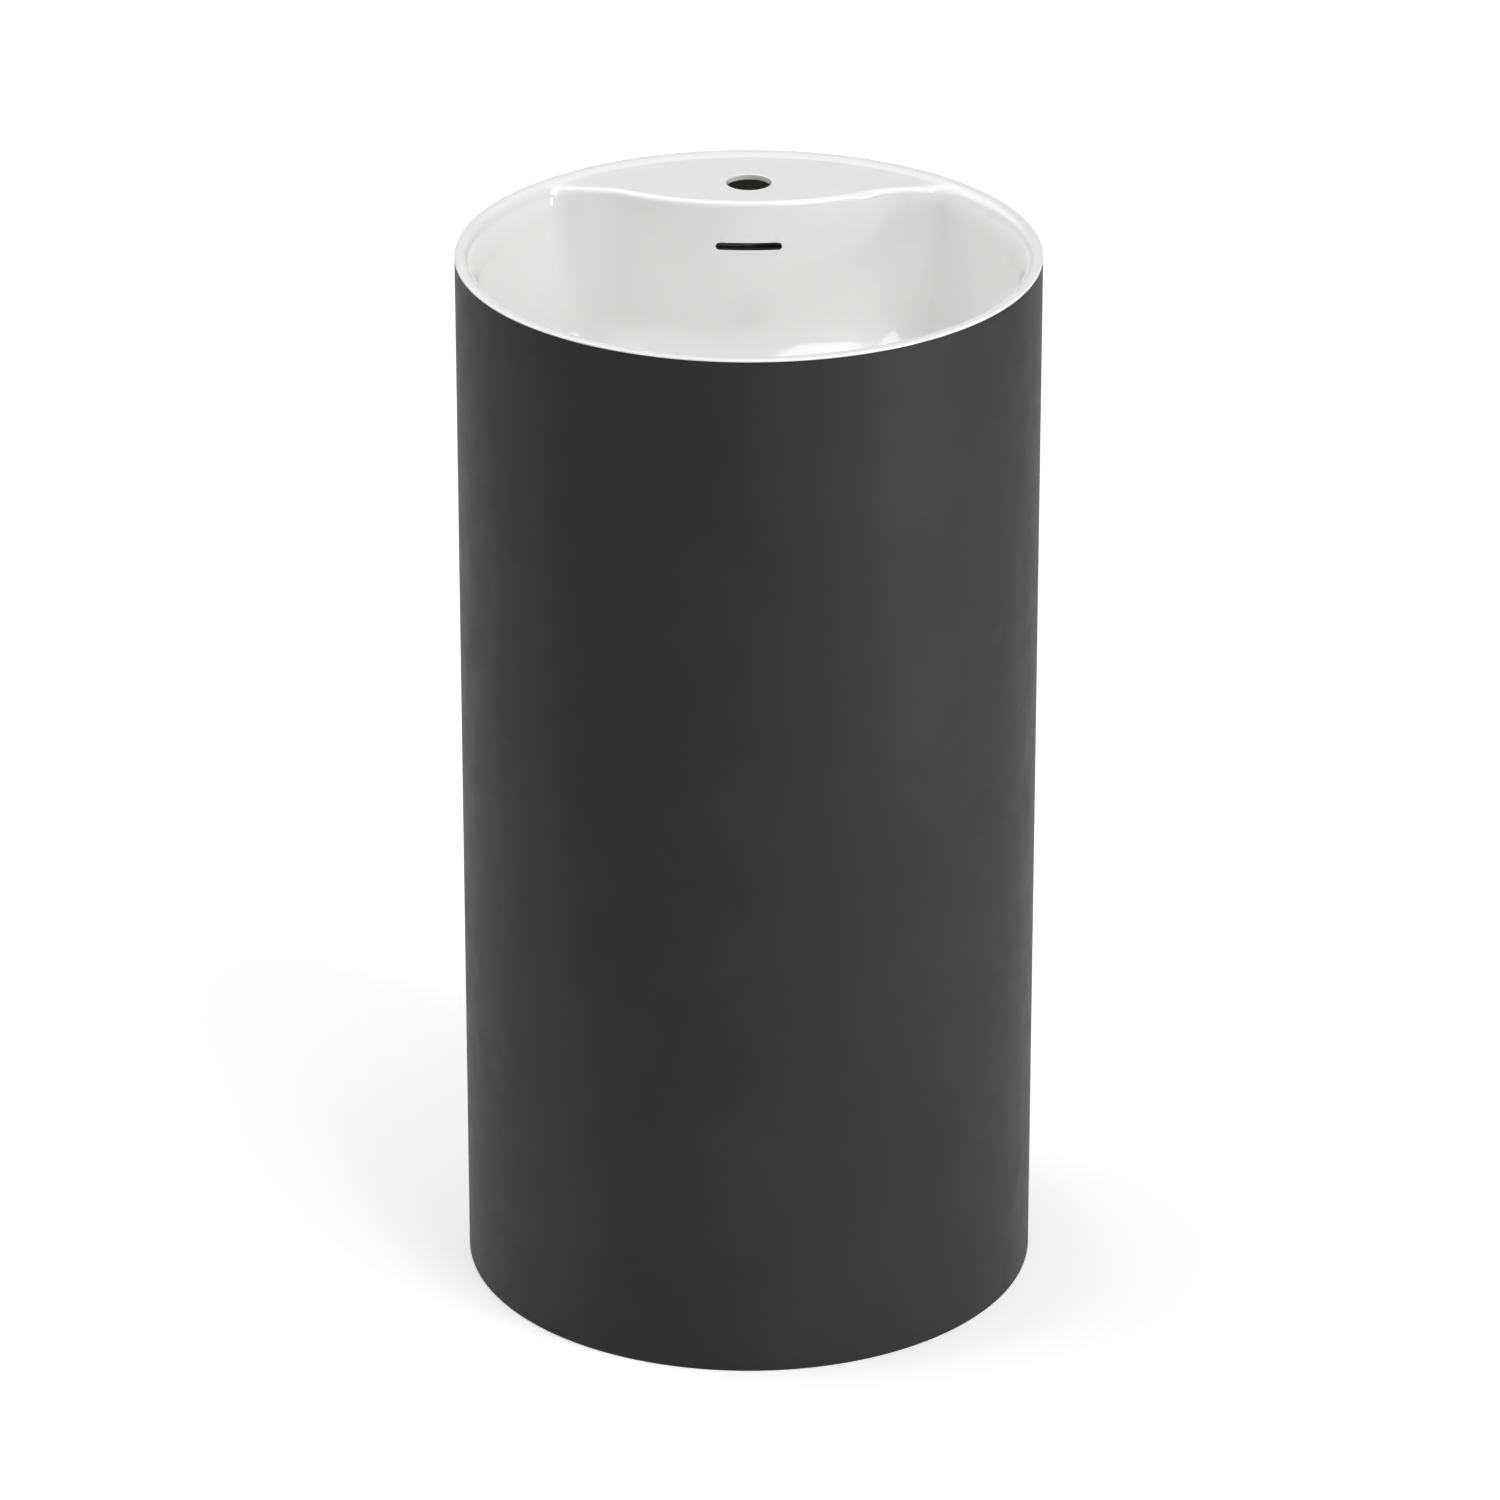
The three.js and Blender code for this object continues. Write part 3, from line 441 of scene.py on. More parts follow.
def turned(profile, steps=TURN_STEPS, thread=None):
    """A closed profile of (radius, z) points, turned about the Z axis. A thread runs from its
    last point to its first."""
    return loop_body([circle(radius, z, steps) for radius, z in profile], thread)


def loop_body(loops, thread):
    if thread is None:
        return lofted(loops)
    return make_object([wrapped(loops), thread])


def thread_wall(radius, low, high, pitch=THREAD_PITCH, depth=THREAD_DEPTH, steps=TURN_STEPS):
    """A grid of points on a right-hand thread that runs out at both ends. depth is the groove's,
    and below 0 inside a nut."""
    turns = np.arange(steps + 1) / steps
    rows = []
    for k in range(-1, math.ceil((high - low) / pitch) + 1):
        for place, share in THREAD_FORM:
            z = np.clip(low + (k + place + turns) * pitch, low, high)
            run_out = np.clip(np.minimum(z - low, high - z) / pitch, 0, 1)
            r = radius - depth * share * run_out
            angles = 2 * math.pi * turns
            rows.append(np.column_stack([r * np.cos(angles), r * np.sin(angles), z]))
    return np.array(rows)


def lugged(profile, wall, low, high):
    """A nut with grip lugs on its outer wall, between two levels. Its thread runs inside from its
    profile's first point to its last."""
    (bore, start), (_, end) = profile[0], profile[-1]
    thread = thread_wall(bore, start, end, depth=-THREAD_DEPTH, steps=NUT_STEPS)
    phase = around(NUT_STEPS) * NUT_LUGS / (2 * math.pi) - LUG_MIDDLE
    from_middle = np.abs((phase + 0.5) % 1 - 0.5)
    raised = smoothstep((LUG_SHARE / 2 + LUG_FLANK - from_middle) / (2 * LUG_FLANK))
    loops = []
    for radius, z in profile:
        share = np.clip(min(z - low, high - z) / LUG_CHAMFER, 0, 1) if radius == wall else 0
        loops.append(circle(radius + NUT_LUG * share * raised, z, NUT_STEPS))
    return loop_body(loops, thread)


def lug_wall(wall, low, high):
    """The profile points of a wall that has lugs between two levels."""
    return [(wall, low), (wall, low + LUG_CHAMFER), (wall, high - LUG_CHAMFER), (wall, high)]


def arc(centre, radii, start, end, steps=6):
    """Points on an ellipse's arc, with angles in degrees."""
    angles = np.radians(np.linspace(start, end, steps + 1))
    return [
        (centre[0] + radii[0] * math.cos(a), centre[1] + radii[1] * math.sin(a)) for a in angles
    ]


def rounded(profile, radius=SOFT_EDGE, steps=3):
    """The closed profile with an arc at each corner that is off the axis."""
    points = [np.array(point, float) for point in profile]
    result = []
    for i, corner in enumerate(points):
        back = points[i - 1] - corner
        ahead = points[(i + 1) % len(points)] - corner
        result.extend(corner_arc(corner, back, ahead, radius, steps))
    return result


def corner_arc(corner, back, ahead, radius, steps):
    lengths = np.linalg.norm(back), np.linalg.norm(ahead)
    back, ahead = back / lengths[0], ahead / lengths[1]
    half = math.acos(np.clip(back @ ahead, -1, 1)) / 2
    if corner[0] < ON_AXIS or half > math.radians(NEARLY_STRAIGHT):
        return [tuple(corner)]
    reach = min(radius / math.tan(half), CORNER_REACH * min(lengths))
    centre = corner + (back + ahead) / np.linalg.norm(back + ahead) * reach / math.cos(half)
    start = corner + back * reach - centre
    end = corner + ahead * reach - centre
    across = np.array([-start[1], start[0]])
    sweep = math.atan2(across @ end, start @ end)
    angles = [sweep * k / steps for k in range(steps + 1)]
    return [tuple(centre + start * math.cos(a) + across * math.sin(a)) for a in angles]


def extruded(points, axis, low, high):
    """A solid with the same outline from low to high along an axis."""
    points = np.array(points, float)
    return lofted([np.insert(points, axis, place, axis=1) for place in (low, high)], closed=False)


def block(low, high):
    corners = ((low[0], low[1]), (high[0], low[1]), (high[0], high[1]), (low[0], high[1]))
    return extruded(corners, 2, low[2], high[2])


def blocks_around(count, low, high, edge, first=0):
    """Soft-edged blocks at equal steps round the Z axis, the first one turned by first degrees."""
    return [turn(bevelled(block(low, high), edge), first + 360 * i / count) for i in range(count)]


def rod(radius, bottom, top, steps=TURN_STEPS):
    return lofted([circle(radius, bottom, steps), circle(radius, top, steps)], closed=False)


def tube(bore, radius, low, high, edge=SOFT_EDGE):
    """A ring along the Z axis, or a disc where bore is 0, with soft edges."""
    return turned(rounded([(bore, low), (radius, low), (radius, high), (bore, high)], edge))


def stadium(width, height, steps=16):
    """A slot's outline with rounded ends, as (x, y) points."""
    radius = height / 2
    half = width / 2 - radius
    right = arc((half, 0), (radius, radius), -90, 90, steps)
    left = arc((-half, 0), (radius, radius), 90, 270, steps)
    return np.array(right + left)


def slot_tool(width, height, low, high):
    """A tool for a slot that is long in X and runs through along Z."""
    return extruded(stadium(width, height), 2, low, high)


def swept(path, radius, sides=12):
    """A round wire along a path that goes round the Z axis."""
    path = np.asarray(path, float)
    along = np.gradient(path, axis=0)
    along /= np.linalg.norm(along, axis=1)[:, None]
    outwards = path * (1, 1, 0)
    outwards /= np.linalg.norm(outwards, axis=1)[:, None]
    up = np.cross(along, outwards)
    angles = around(sides)[:, None]
    return lofted(
        [p + radius * (np.cos(angles) * o + np.sin(angles) * u) for p, o, u in zip(path, outwards, up)],
        closed=False,
    )


# ---------- materials ----------

EVEN = (1, 1, 1)  # features that aren't drawn out along any axis
METAL_DRIFT = 35
FLOOR_GLOW = 0.36


def new_material(name, **sockets):
    """A material with a Principled shader. Underscores in socket names stand for spaces."""
    material = bpy.data.materials.new(name)
    material.use_nodes = True
    shader = material.node_tree.nodes["Principled BSDF"]
    for socket, value in sockets.items():
        shader.inputs[socket.replace("_", " ")].default_value = value
    return material


def add_node(material, kind, inputs=None, **settings):
    tree = material.node_tree
    node = tree.nodes.new(kind)
    for setting, value in settings.items():
        setattr(node, setting, value)
    for socket, value in (inputs or {}).items():
        if isinstance(value, bpy.types.NodeSocket):
            tree.links.new(value, node.inputs[socket])
        else:
            node.inputs[socket].default_value = value
    return node


def to_shader(material, socket, output):
    tree = material.node_tree
    tree.links.new(output, tree.nodes["Principled BSDF"].inputs[socket])


def object_point(material, stretch=EVEN):
    """The place on the piece, in metres, stretched along each axis."""
    place = add_node(material, "ShaderNodeTexCoord").outputs["Object"]
    if stretch == EVEN:
        return place
    return add_node(material, "ShaderNodeMapping", {"Vector": place, "Scale": stretch}).outputs["Vector"]


def noise(material, scale, detail=3, stretch=EVEN):
    """Noise whose features are about 1 / scale metres across."""
    inputs = {"Vector": object_point(material, stretch), "Scale": scale, "Detail": detail}
    return add_node(material, "ShaderNodeTexNoise", inputs).outputs["Fac"]


def spread(material, value, low, high, start=0.3, end=0.7):
    """value, taken from between start and end to between low and high."""
    inputs = {"Value": value, "From Min": start, "From Max": end, "To Min": low, "To Max": high}
    return add_node(material, "ShaderNodeMapRange", inputs).outputs["Result"]


def blend(material, share, first, second):
    node = add_node(material, "ShaderNodeMix", data_type="RGBA")
    tree = material.node_tree
    tree.links.new(share, node.inputs["Factor"])
    for socket, value in ((node.inputs[6], first), (node.inputs[7], second)):
        if isinstance(value, bpy.types.NodeSocket):
            tree.links.new(value, socket)
        else:
            socket.default_value = (*value, 1)
    return node.outputs[2]


def bump(material, layers):
    """Bumps from (height, strength, depth in millimetres), the first one lowest."""
    normal = None
    for height, strength, depth in layers:
        inputs = {"Height": height, "Strength": strength, "Distance": depth * MM}
        if normal is not None:
            inputs["Normal"] = normal
        normal = add_node(material, "ShaderNodeBump", inputs).outputs["Normal"]
    to_shader(material, "Normal", normal)


def grey(value, warmth=0.0):
    return (value * (1 + warmth), value, value * (1 - warmth))


def drifting_colour(material, scale, dark, light):
    share = spread(material, noise(material, scale), 0, 1)
    to_shader(material, "Base Color", blend(material, share, dark, light))


def mottled(material, dark, light, scale, roughness, roughness_scale=40):
    """Colour and roughness that drift between two values."""
    drifting_colour(material, scale, dark, light)
    drift = noise(material, roughness_scale, detail=4)
    to_shader(material, "Roughness", spread(material, drift, *roughness))


def matt_black():
    material = new_material("matt_black_glaze", Specular_IOR_Level=0.2)
    mottled(material, grey(0.019), grey(0.023), scale=9, roughness=(0.5, 0.57))
    bump(material, [
        (noise(material, 16, detail=1), 0.12, 0.25),
        (noise(material, 620, detail=2), 0.12, 0.06),
    ])
    return material


def raw_inside():
    material = new_material("raw_inside", Specular_IOR_Level=0.3)
    mottled(material, grey(0.36, 0.02), grey(0.42, 0.02), scale=22, roughness=(0.72, 0.9))
    bump(material, [
        (noise(material, 45, detail=4), 0.35, 0.8),
        (noise(material, 480, detail=3), 0.4, 0.2),
    ])
    return material


def gloss_white():
    material = new_material("gloss_white_glaze", IOR=1.5, Coat_Weight=0.35, Coat_Roughness=0.04)
    colours = (grey(0.845, 0.002), grey(0.87, 0.002))
    mottled(material, *colours, scale=7, roughness=(0.09, 0.15), roughness_scale=24)
    bump(material, [
        (noise(material, 13, detail=1), 0.1, 0.5),
        (noise(material, 260, detail=2), 0.05, 0.05),
    ])
    return material


def raw_casting():
    material = new_material("raw_casting", Specular_IOR_Level=0.35)
    mottled(material, grey(0.52, 0.05), grey(0.66, 0.04), scale=30, roughness=(0.6, 0.82))
    inputs = {"Vector": object_point(material), "Scale": 420.0}
    pits = add_node(material, "ShaderNodeTexVoronoi", inputs)
    bump(material, [
        (noise(material, 60, detail=4), 0.3, 0.5),
        (pits.outputs["Distance"], 0.25, 0.15),
    ])
    return material


def cast_grey():
    material = new_material("cast_grey", Specular_IOR_Level=0.35)
    mottled(material, grey(0.13, 0.02), grey(0.2, 0.02), scale=90, roughness=(0.6, 0.8), roughness_scale=200)
    bump(material, [(noise(material, 700, detail=4), 0.5, 0.2)])
    return material


def metal(name, dark, light, roughness, stretch, grain, depth):
    """Metal with tool or polish marks drawn out along the axes whose stretch is small."""
    material = new_material(name, Metallic=1.0)
    marks = noise(material, grain, detail=3, stretch=stretch)
    drifting_colour(material, METAL_DRIFT, dark, light)
    to_shader(material, "Roughness", spread(material, marks, *roughness))
    bump(material, [(marks, 0.15, depth)])
    return material


def chrome():
    return metal("chrome", grey(0.62), grey(0.7), (0.04, 0.09), EVEN, grain=90, depth=0.02)


def brass():
    colours = ((0.55, 0.36, 0.13), (0.68, 0.48, 0.2))
    return metal("brass", *colours, (0.2, 0.36), (0.15, 0.15, 1), grain=900, depth=0.05)


def zinc_steel():
    colours = ((0.48, 0.5, 0.52), (0.62, 0.63, 0.64))
    return metal("zinc_steel", *colours, (0.24, 0.4), (1, 0.2, 1), grain=500, depth=0.05)


def spring_steel():
    return metal("spring_steel", grey(0.4), grey(0.5), (0.2, 0.32), EVEN, grain=600, depth=0.03)


def white_plastic():
    material = new_material("white_plastic", Subsurface_Weight=0.08, Subsurface_Scale=0.004)
    colours = ((0.74, 0.74, 0.71), (0.8, 0.8, 0.775))
    mottled(material, *colours, scale=25, roughness=(0.3, 0.42), roughness_scale=120)
    bump(material, [
        (noise(material, 70, detail=2), 0.1, 0.2),
        (noise(material, 1500, detail=2), 0.2, 0.03),
    ])
    return material


def black_plastic():
    material = new_material("black_plastic")
    mottled(material, grey(0.016), grey(0.024), scale=60, roughness=(0.34, 0.5), roughness_scale=300)
    bump(material, [(noise(material, 1800, detail=2), 0.3, 0.03)])
    return material


def rubber():
    material = new_material("black_rubber", Specular_IOR_Level=0.35)
    mottled(material, grey(0.012), grey(0.022), scale=80, roughness=(0.62, 0.8), roughness_scale=300)
    bump(material, [(noise(material, 1400, detail=3), 0.4, 0.06)])
    return material


def studio_floor():
    material = new_material(
        "pale_floor", Specular_IOR_Level=0.1, Emission_Color=(1, 1, 1, 1), Emission_Strength=FLOOR_GLOW
    )
    mottled(material, grey(0.88), grey(0.9), scale=0.8, roughness=(0.8, 0.9), roughness_scale=2)
    return material


MATT_BLACK = matt_black()
RAW_INSIDE = raw_inside()
GLOSS_WHITE = gloss_white()
RAW_CASTING = raw_casting()
CAST_GREY = cast_grey()
CHROME = chrome()
BRASS = brass()
ZINC_STEEL = zinc_steel()
SPRING_STEEL = spring_steel()
WHITE_PLASTIC = white_plastic()
BLACK_PLASTIC = black_plastic()
RUBBER = rubber()


# ---------- the bowl's outline in plan ----------

# Three tangent arcs: the main circle, a corner on each side and the deck's bulging front edge.
BULGE_CENTRE = np.array([0, DECK_FRONT_Y + DECK_BULGE])


def corner_centre():
    from_axis = BOWL_RADIUS - BOWL_CORNER
    from_bulge = DECK_BULGE + BOWL_CORNER
    y = (from_axis**2 - from_bulge**2 + BULGE_CENTRE[1] ** 2) / (2 * BULGE_CENTRE[1])
    return np.array([math.sqrt(from_axis**2 - y**2), y])


CORNER_CENTRE = corner_centre()


def polar(point):
    return math.atan2(point[1], point[0])


def turning_point(inset):
    """Where a corner's arc meets the bulge's."""
    away = CORNER_CENTRE - BULGE_CENTRE
    return BULGE_CENTRE + away / np.linalg.norm(away) * (DECK_BULGE + inset)


def bowl_angles():
    """Angles round the bowl, closest together where its corners turn."""
    start = polar(CORNER_CENTRE)
    end = polar(turning_point(0))
    stretches = (
        (start, end, CORNER_STEPS),
        (end, math.pi - end, BULGE_STEPS),
        (math.pi - end, math.pi - start, CORNER_STEPS),
        (math.pi - start, 2 * math.pi + start, FRONT_STEPS),
    )
    return np.concatenate([np.linspace(*stretch, endpoint=False) for stretch in stretches])


ANGLES = bowl_angles()
DIRECTIONS = np.column_stack([np.abs(np.cos(ANGLES)), np.sin(ANGLES)])


def ray_to_circle(centre, radius, side):
    """Distance along each ray from the axis to a circle, on its near (-1) or far (1) side."""
    along = DIRECTIONS @ centre
    off = centre @ centre - along**2
    return along + side * np.sqrt(np.maximum(radius**2 - off, 0))


def outline(inset=0.0):
    """The bowl's radius at each angle, moved inwards by inset everywhere."""
    angle = np.arctan2(DIRECTIONS[:, 1], DIRECTIONS[:, 0])
    corner = ray_to_circle(CORNER_CENTRE, BOWL_CORNER - inset, 1)
    bulge = ray_to_circle(BULGE_CENTRE, DECK_BULGE + inset, -1)
    at_rear = np.where(angle <= polar(turning_point(inset)), corner, bulge)
    return np.where(angle <= polar(CORNER_CENTRE), BOWL_RADIUS - inset, at_rear)


DECK_SHARE = smoothstep((DECK_REAR_RADIUS - outline(-DECK_FILLET)) / DECK_BLEND)


def ring(radius, z):
    radius = np.broadcast_to(radius, ANGLES.shape)
    return np.column_stack([radius * np.cos(ANGLES), radius * np.sin(ANGLES), np.full(len(ANGLES), z)])


def inset_ring(inset, z):
    return ring(outline(inset), z)


def drain_ring(radius, z):
    return ring(radius, z) + (0, DRAIN_Y, 0)


def between(first, second, share):
    """The ring part of the way between two, where share may differ at each angle."""
    share = np.broadcast_to(share, ANGLES.shape)[:, None]
    return first * (1 - share) + second * share


# ---------- shell and basin ----------

def shell_columns(radius):
    """Angles of the shell's columns: round the front, then across the service opening."""
    half = OPENING_WIDTH / 2
    edge = math.acos(half / radius)
    front = np.linspace(edge, edge - (math.pi + 2 * edge), SHELL_FRONT_STEPS)
    corner = half - OPENING_CORNER * (1 - np.sin(quarters(OPENING_CORNER_STEPS)))
    middle = np.linspace(-corner[0], corner[0], OPENING_TOP_STEPS)[1:-1]
    across = np.concatenate([-corner[::-1], middle, corner])
    return front, np.arccos(across / radius), across


def opening_top(x):
    """The height of the service opening's edge at x."""
    past = np.maximum(np.abs(x) - (OPENING_WIDTH / 2 - OPENING_CORNER), 0)
    rise = np.sqrt(np.maximum(OPENING_CORNER**2 - past**2, 0))
    return OPENING_HEIGHT - OPENING_CORNER + rise


def shell_face(radius, top):
    """Grids of points on one face of the shell: beside the opening, and above it."""
    front, over, x = shell_columns(radius)
    shoulder = OPENING_HEIGHT - OPENING_CORNER
    low = np.linspace(0, shoulder, JAMB_ROWS)
    high = np.linspace(shoulder, top, LINTEL_ROWS)
    heights = np.concatenate([low, high[1:]])[:, None] * np.ones(len(front))
    edge = opening_top(x)
    above = edge + np.linspace(0, 1, LINTEL_ROWS)[:, None] * (top - edge)

    def grid(angles, heights):
        angles = np.broadcast_to(angles, heights.shape)
        return np.stack([radius * np.cos(angles), radius * np.sin(angles), heights], axis=-1)

    return grid(front, heights), grid(over, above)


def shell():
    outer = shell_face(OUTER_RADIUS, SHELL_TOP)
    inner = shell_face(SHELL_INNER, SHELL_TOP - SHELL_WALL)
    edges = []
    for far, near in zip(outer, inner):
        edges.append(np.stack([far[-1], near[-1]]))
        edges.append(np.stack([far[0], near[0]]))
    for column in (0, -1):
        edges.append(np.stack([side[0][:JAMB_ROWS, column] for side in (outer, inner)]))
    kinds = [0] * len(outer) + [1] * (len(inner) + len(edges))
    obj = make_object([*outer, *inner, *edges], materials=(MATT_BLACK, RAW_INSIDE), kinds=kinds)
    mitre = (SHELL_TOP - 2 * SHELL_WALL) * MM

    def below_mitre(edge):
        return edge.calc_face_angle(0) > math.radians(SHELL_SHARP) and max(v.co.z for v in edge.verts) < mitre

    return finish(bevel_edges(obj, below_mitre, SHELL_EDGE), "shell")


def rim_loops():
    """From the lip's crest inwards: a rounded rim round the bowl, which turns into a slope, the
    deck and the deck's rounded front edge at the back."""
    slope = []
    for t in np.linspace(0, 1, 5)[1:]:
        radius = CREST_INNER + (DECK_REAR_RADIUS - CREST_INNER) * t
        slope.append(ring(radius, HEIGHT - DECK_DROP * smoothstep(t)))
    flat_end = inset_ring(-DECK_FILLET, DECK_Z)
    flat = [between(slope[-1], flat_end, t) for t in np.linspace(0, 1, 6)[1:-1]]
    edge = [
        inset_ring(-DECK_FILLET * (1 - math.sin(a)), DECK_Z - DECK_FILLET * (1 - math.cos(a)))
        for a in quarters(8)
    ]
    deck_side = slope + flat + edge
    bowl_side = [
        ring(
            BOWL_RADIUS + (CREST_INNER - BOWL_RADIUS) * (1 - math.sin(a)),
            HEIGHT - RIM_ROUND_HEIGHT * (1 - math.cos(a)),
        )
        for a in quarters(len(deck_side), first=1)
    ]
    return [between(bowl, deck, DECK_SHARE) for bowl, deck in zip(bowl_side, deck_side)]


def lip_loops():
    """The white edge above the shell, rounded over to the crest."""
    width = OUTER_RADIUS - CREST_OUTER
    loops = [
        ring(CREST_OUTER + width * math.cos(a), ARRIS_Z + LIP_HEIGHT * math.sin(a))
        for a in quarters(6)
    ]
    crest_middle = (CREST_OUTER + CREST_INNER) / 2
    return [*loops, ring(crest_middle, HEIGHT), ring(CREST_INNER, HEIGHT)]


def floor_loops():
    foot = inset_ring(WALL_DRAFT, WALL_FOOT_Z)
    head = rim_loops()[-1]
    wall = [between(head, foot, t) for t in np.linspace(0, 1, 7)[1:-1]]
    fillet = [
        inset_ring(FLOOR_INSET - FLOOR_FILLET * math.cos(a), WALL_FOOT_Z - FLOOR_FILLET * math.sin(a))
        for a in quarters(14)
    ]
    recess_edge = drain_ring(RECESS_RADIUS + HOLE_EDGE, FLOOR_DRAIN_Z)
    floor = [between(fillet[-1], recess_edge, t) for t in np.linspace(0, 1, 7)[1:]]
    rolled_edge = [
        drain_ring(
            RECESS_RADIUS + HOLE_EDGE * (1 - math.sin(a)), FLOOR_DRAIN_Z - HOLE_EDGE * (1 - math.cos(a))
        )
        for a in quarters(4, first=1)
    ]
    recess_foot = [
        drain_ring(RECESS_RADIUS - HOLE_EDGE * (1 - math.cos(a)), RECESS_Z + HOLE_EDGE * (1 - math.sin(a)))
        for a in quarters(3)
    ]
    hole = [drain_ring(DRAIN_HOLE + SOFT_EDGE, RECESS_Z), drain_ring(DRAIN_HOLE, RECESS_Z - SOFT_EDGE)]
    return [*wall, *fillet, *floor, *rolled_edge, *recess_foot, *hole]


def under_loops(clear=0.0):
    """The bowl's underside from the drain outwards and up the wall, moved outwards by clear."""
    radius = FLOOR_FILLET + BASIN_WALL + clear
    fillet = [
        inset_ring(FLOOR_INSET - radius * math.cos(a), WALL_FOOT_Z - radius * math.sin(a))
        for a in reversed(quarters(12))
    ]
    return [
        drain_ring(DRAIN_HOLE, FLOOR_UNDER_Z - clear),
        drain_ring(RECESS_RADIUS + BASIN_WALL, FLOOR_UNDER_Z + RECESS_BOSS - clear),
        *fillet,
    ]


def tap_hole_tool():
    """A rod that flares where it meets the deck's faces."""
    radius = TAP_HOLE_RADIUS + HOLE_EDGE
    flare = (HOLE_EDGE, HOLE_EDGE)
    profile = [
        (0, DECK_UNDER_Z - BEYOND),
        (radius, DECK_UNDER_Z - BEYOND),
        *arc((radius, DECK_UNDER_Z + HOLE_EDGE), flare, -90, -180),
        *arc((radius, DECK_Z - HOLE_EDGE), flare, 180, 90),
        (radius, DECK_Z + BEYOND),
        (0, DECK_Z + BEYOND),
    ]
    return shift(turned(profile), y=TAP_HOLE_Y)


def slot_tool_for_wall():
    """A slot that follows the rear wall's bulge and flares at its mouth. Its ends are flat, and it leaves
    matt black on the faces it cuts: painted shade inside the slot and its mouth."""
    draft = WALL_DRAFT * (DECK_Z - SLOT_Z) / (DECK_Z - WALL_FOOT_Z)
    mouth = [(HOLE_EDGE * math.sin(a), HOLE_EDGE * (1 - math.sin(a)) ** MOUTH_POWER) for a in quarters(4)]

    def loop(flare, place):
        points = stadium(SLOT_WIDTH + 2 * flare, SLOT_HEIGHT + 2 * flare)
        wall = BULGE_CENTRE[1] - np.sqrt((DECK_BULGE + draft) ** 2 - points[:, 0] ** 2)
        return np.column_stack([points[:, 0], place(wall), points[:, 1] + SLOT_Z])

    front = loop(HOLE_EDGE, lambda wall: np.full(len(wall), DECK_FRONT_Y - BEYOND))
    back = loop(0, lambda wall: np.full(len(wall), DECK_FRONT_Y + 2 * BEYOND))
    curved = [loop(flare, lambda wall, depth=depth: wall + depth) for depth, flare in mouth]
    tool = lofted([front, *curved, back], closed=False)
    # The cut faces take matt black: painted shade inside the slot and its mouth
    tool.data.materials.append(MATT_BLACK)
    return tool


def basin():
    lip = lip_loops()
    under = under_loops()
    mitre_end = MITRE_FOOT_Z - MITRE_RUN
    wall_top = ring(BASIN_OUTER, mitre_end - SEAT_STEP)
    ledge = ring(BASIN_OUTER - SEAT_LEDGE, DECK_UNDER_Z)
    glazed = [*lip, *rim_loops(), *floor_loops(), under[0]]
    raw = [
        *under,
        between(wall_top, inset_ring(-BASIN_WALL, DECK_UNDER_Z), DECK_SHARE),
        between(ring(BASIN_OUTER, mitre_end), ledge, DECK_SHARE),
        ring(SHELL_INNER - MITRE_RUN, mitre_end),
        lip[0],
    ]
    grids = [wrapped(glazed), wrapped(raw)]
    obj = make_object(grids, materials=(GLOSS_WHITE, RAW_CASTING), kinds=(0, 1))
    # The slot's cut faces come out matt black: painted shade inside the overflow slot
    cut(obj, tap_hole_tool(), slot_tool_for_wall())
    return finish(obj, "basin", sharp=40)


# ---------- overflow ----------

def channel_fill(distance, width, top, chamber_radius):
    """What the channel takes up at a distance outside the basin: a band behind the rear wall and
    under the floor, and a round chamber at the drain."""
    radius = FLOOR_FILLET + BASIN_WALL + distance
    corner_y = DECK_FRONT_Y - FLOOR_INSET
    under = FLOOR_UNDER_Z - distance
    profile = [
        (DECK_FRONT_Y + BASIN_WALL + distance, top),
        (DECK_FRONT_Y - BASIN_WALL, top),
        (corner_y - FLOOR_FILLET / 2, WALL_FOOT_Z),
        (DRAIN_Y, FLOOR_EDGE_Z),
        (DRAIN_Y, under),
        (DRAIN_Y + RECESS_RADIUS, under),
        *arc((corner_y, WALL_FOOT_Z), (radius, radius), -90, 0, 16),
    ]
    chamber = shift(rod(chamber_radius, under, FLOOR_EDGE_Z), y=DRAIN_Y)
    return join(extruded(profile, 0, -width / 2, width / 2), chamber)


def overflow_channel():
    outer = channel_fill(
        CHANNEL_CAVITY + CHANNEL_WALL,
        CHANNEL_WIDTH + 2 * CHANNEL_WALL,
        CHANNEL_TOP + CHANNEL_WALL,
        CHAMBER_RADIUS + CHANNEL_WALL,
    )
    bevelled(outer, CHANNEL_EDGE, angle=40)
    cavity = channel_fill(CHANNEL_CAVITY, CHANNEL_WIDTH, CHANNEL_TOP, CHAMBER_RADIUS)
    basin_space = lofted([*under_loops(GAP), inset_ring(-BASIN_WALL - GAP, DECK_Z)], closed=False)
    drain = shift(rod(DRAIN_HOLE, span("overflow_channel")[0] - BEYOND, FLOOR_EDGE_Z), y=DRAIN_Y)
    return finish(cut(outer, cavity, basin_space, drain), "overflow_channel", RAW_CASTING)


# ---------- waste and plug, on the drain's axis ----------

def at_drain(obj):
    return shift(obj, y=DRAIN_Y)


def sleeve(node, bore, edge):
    """A plain ring round the drain's axis, with soft edges."""
    bottom, top, radius = span(node)
    return tube(bore, radius, bottom, top, edge)


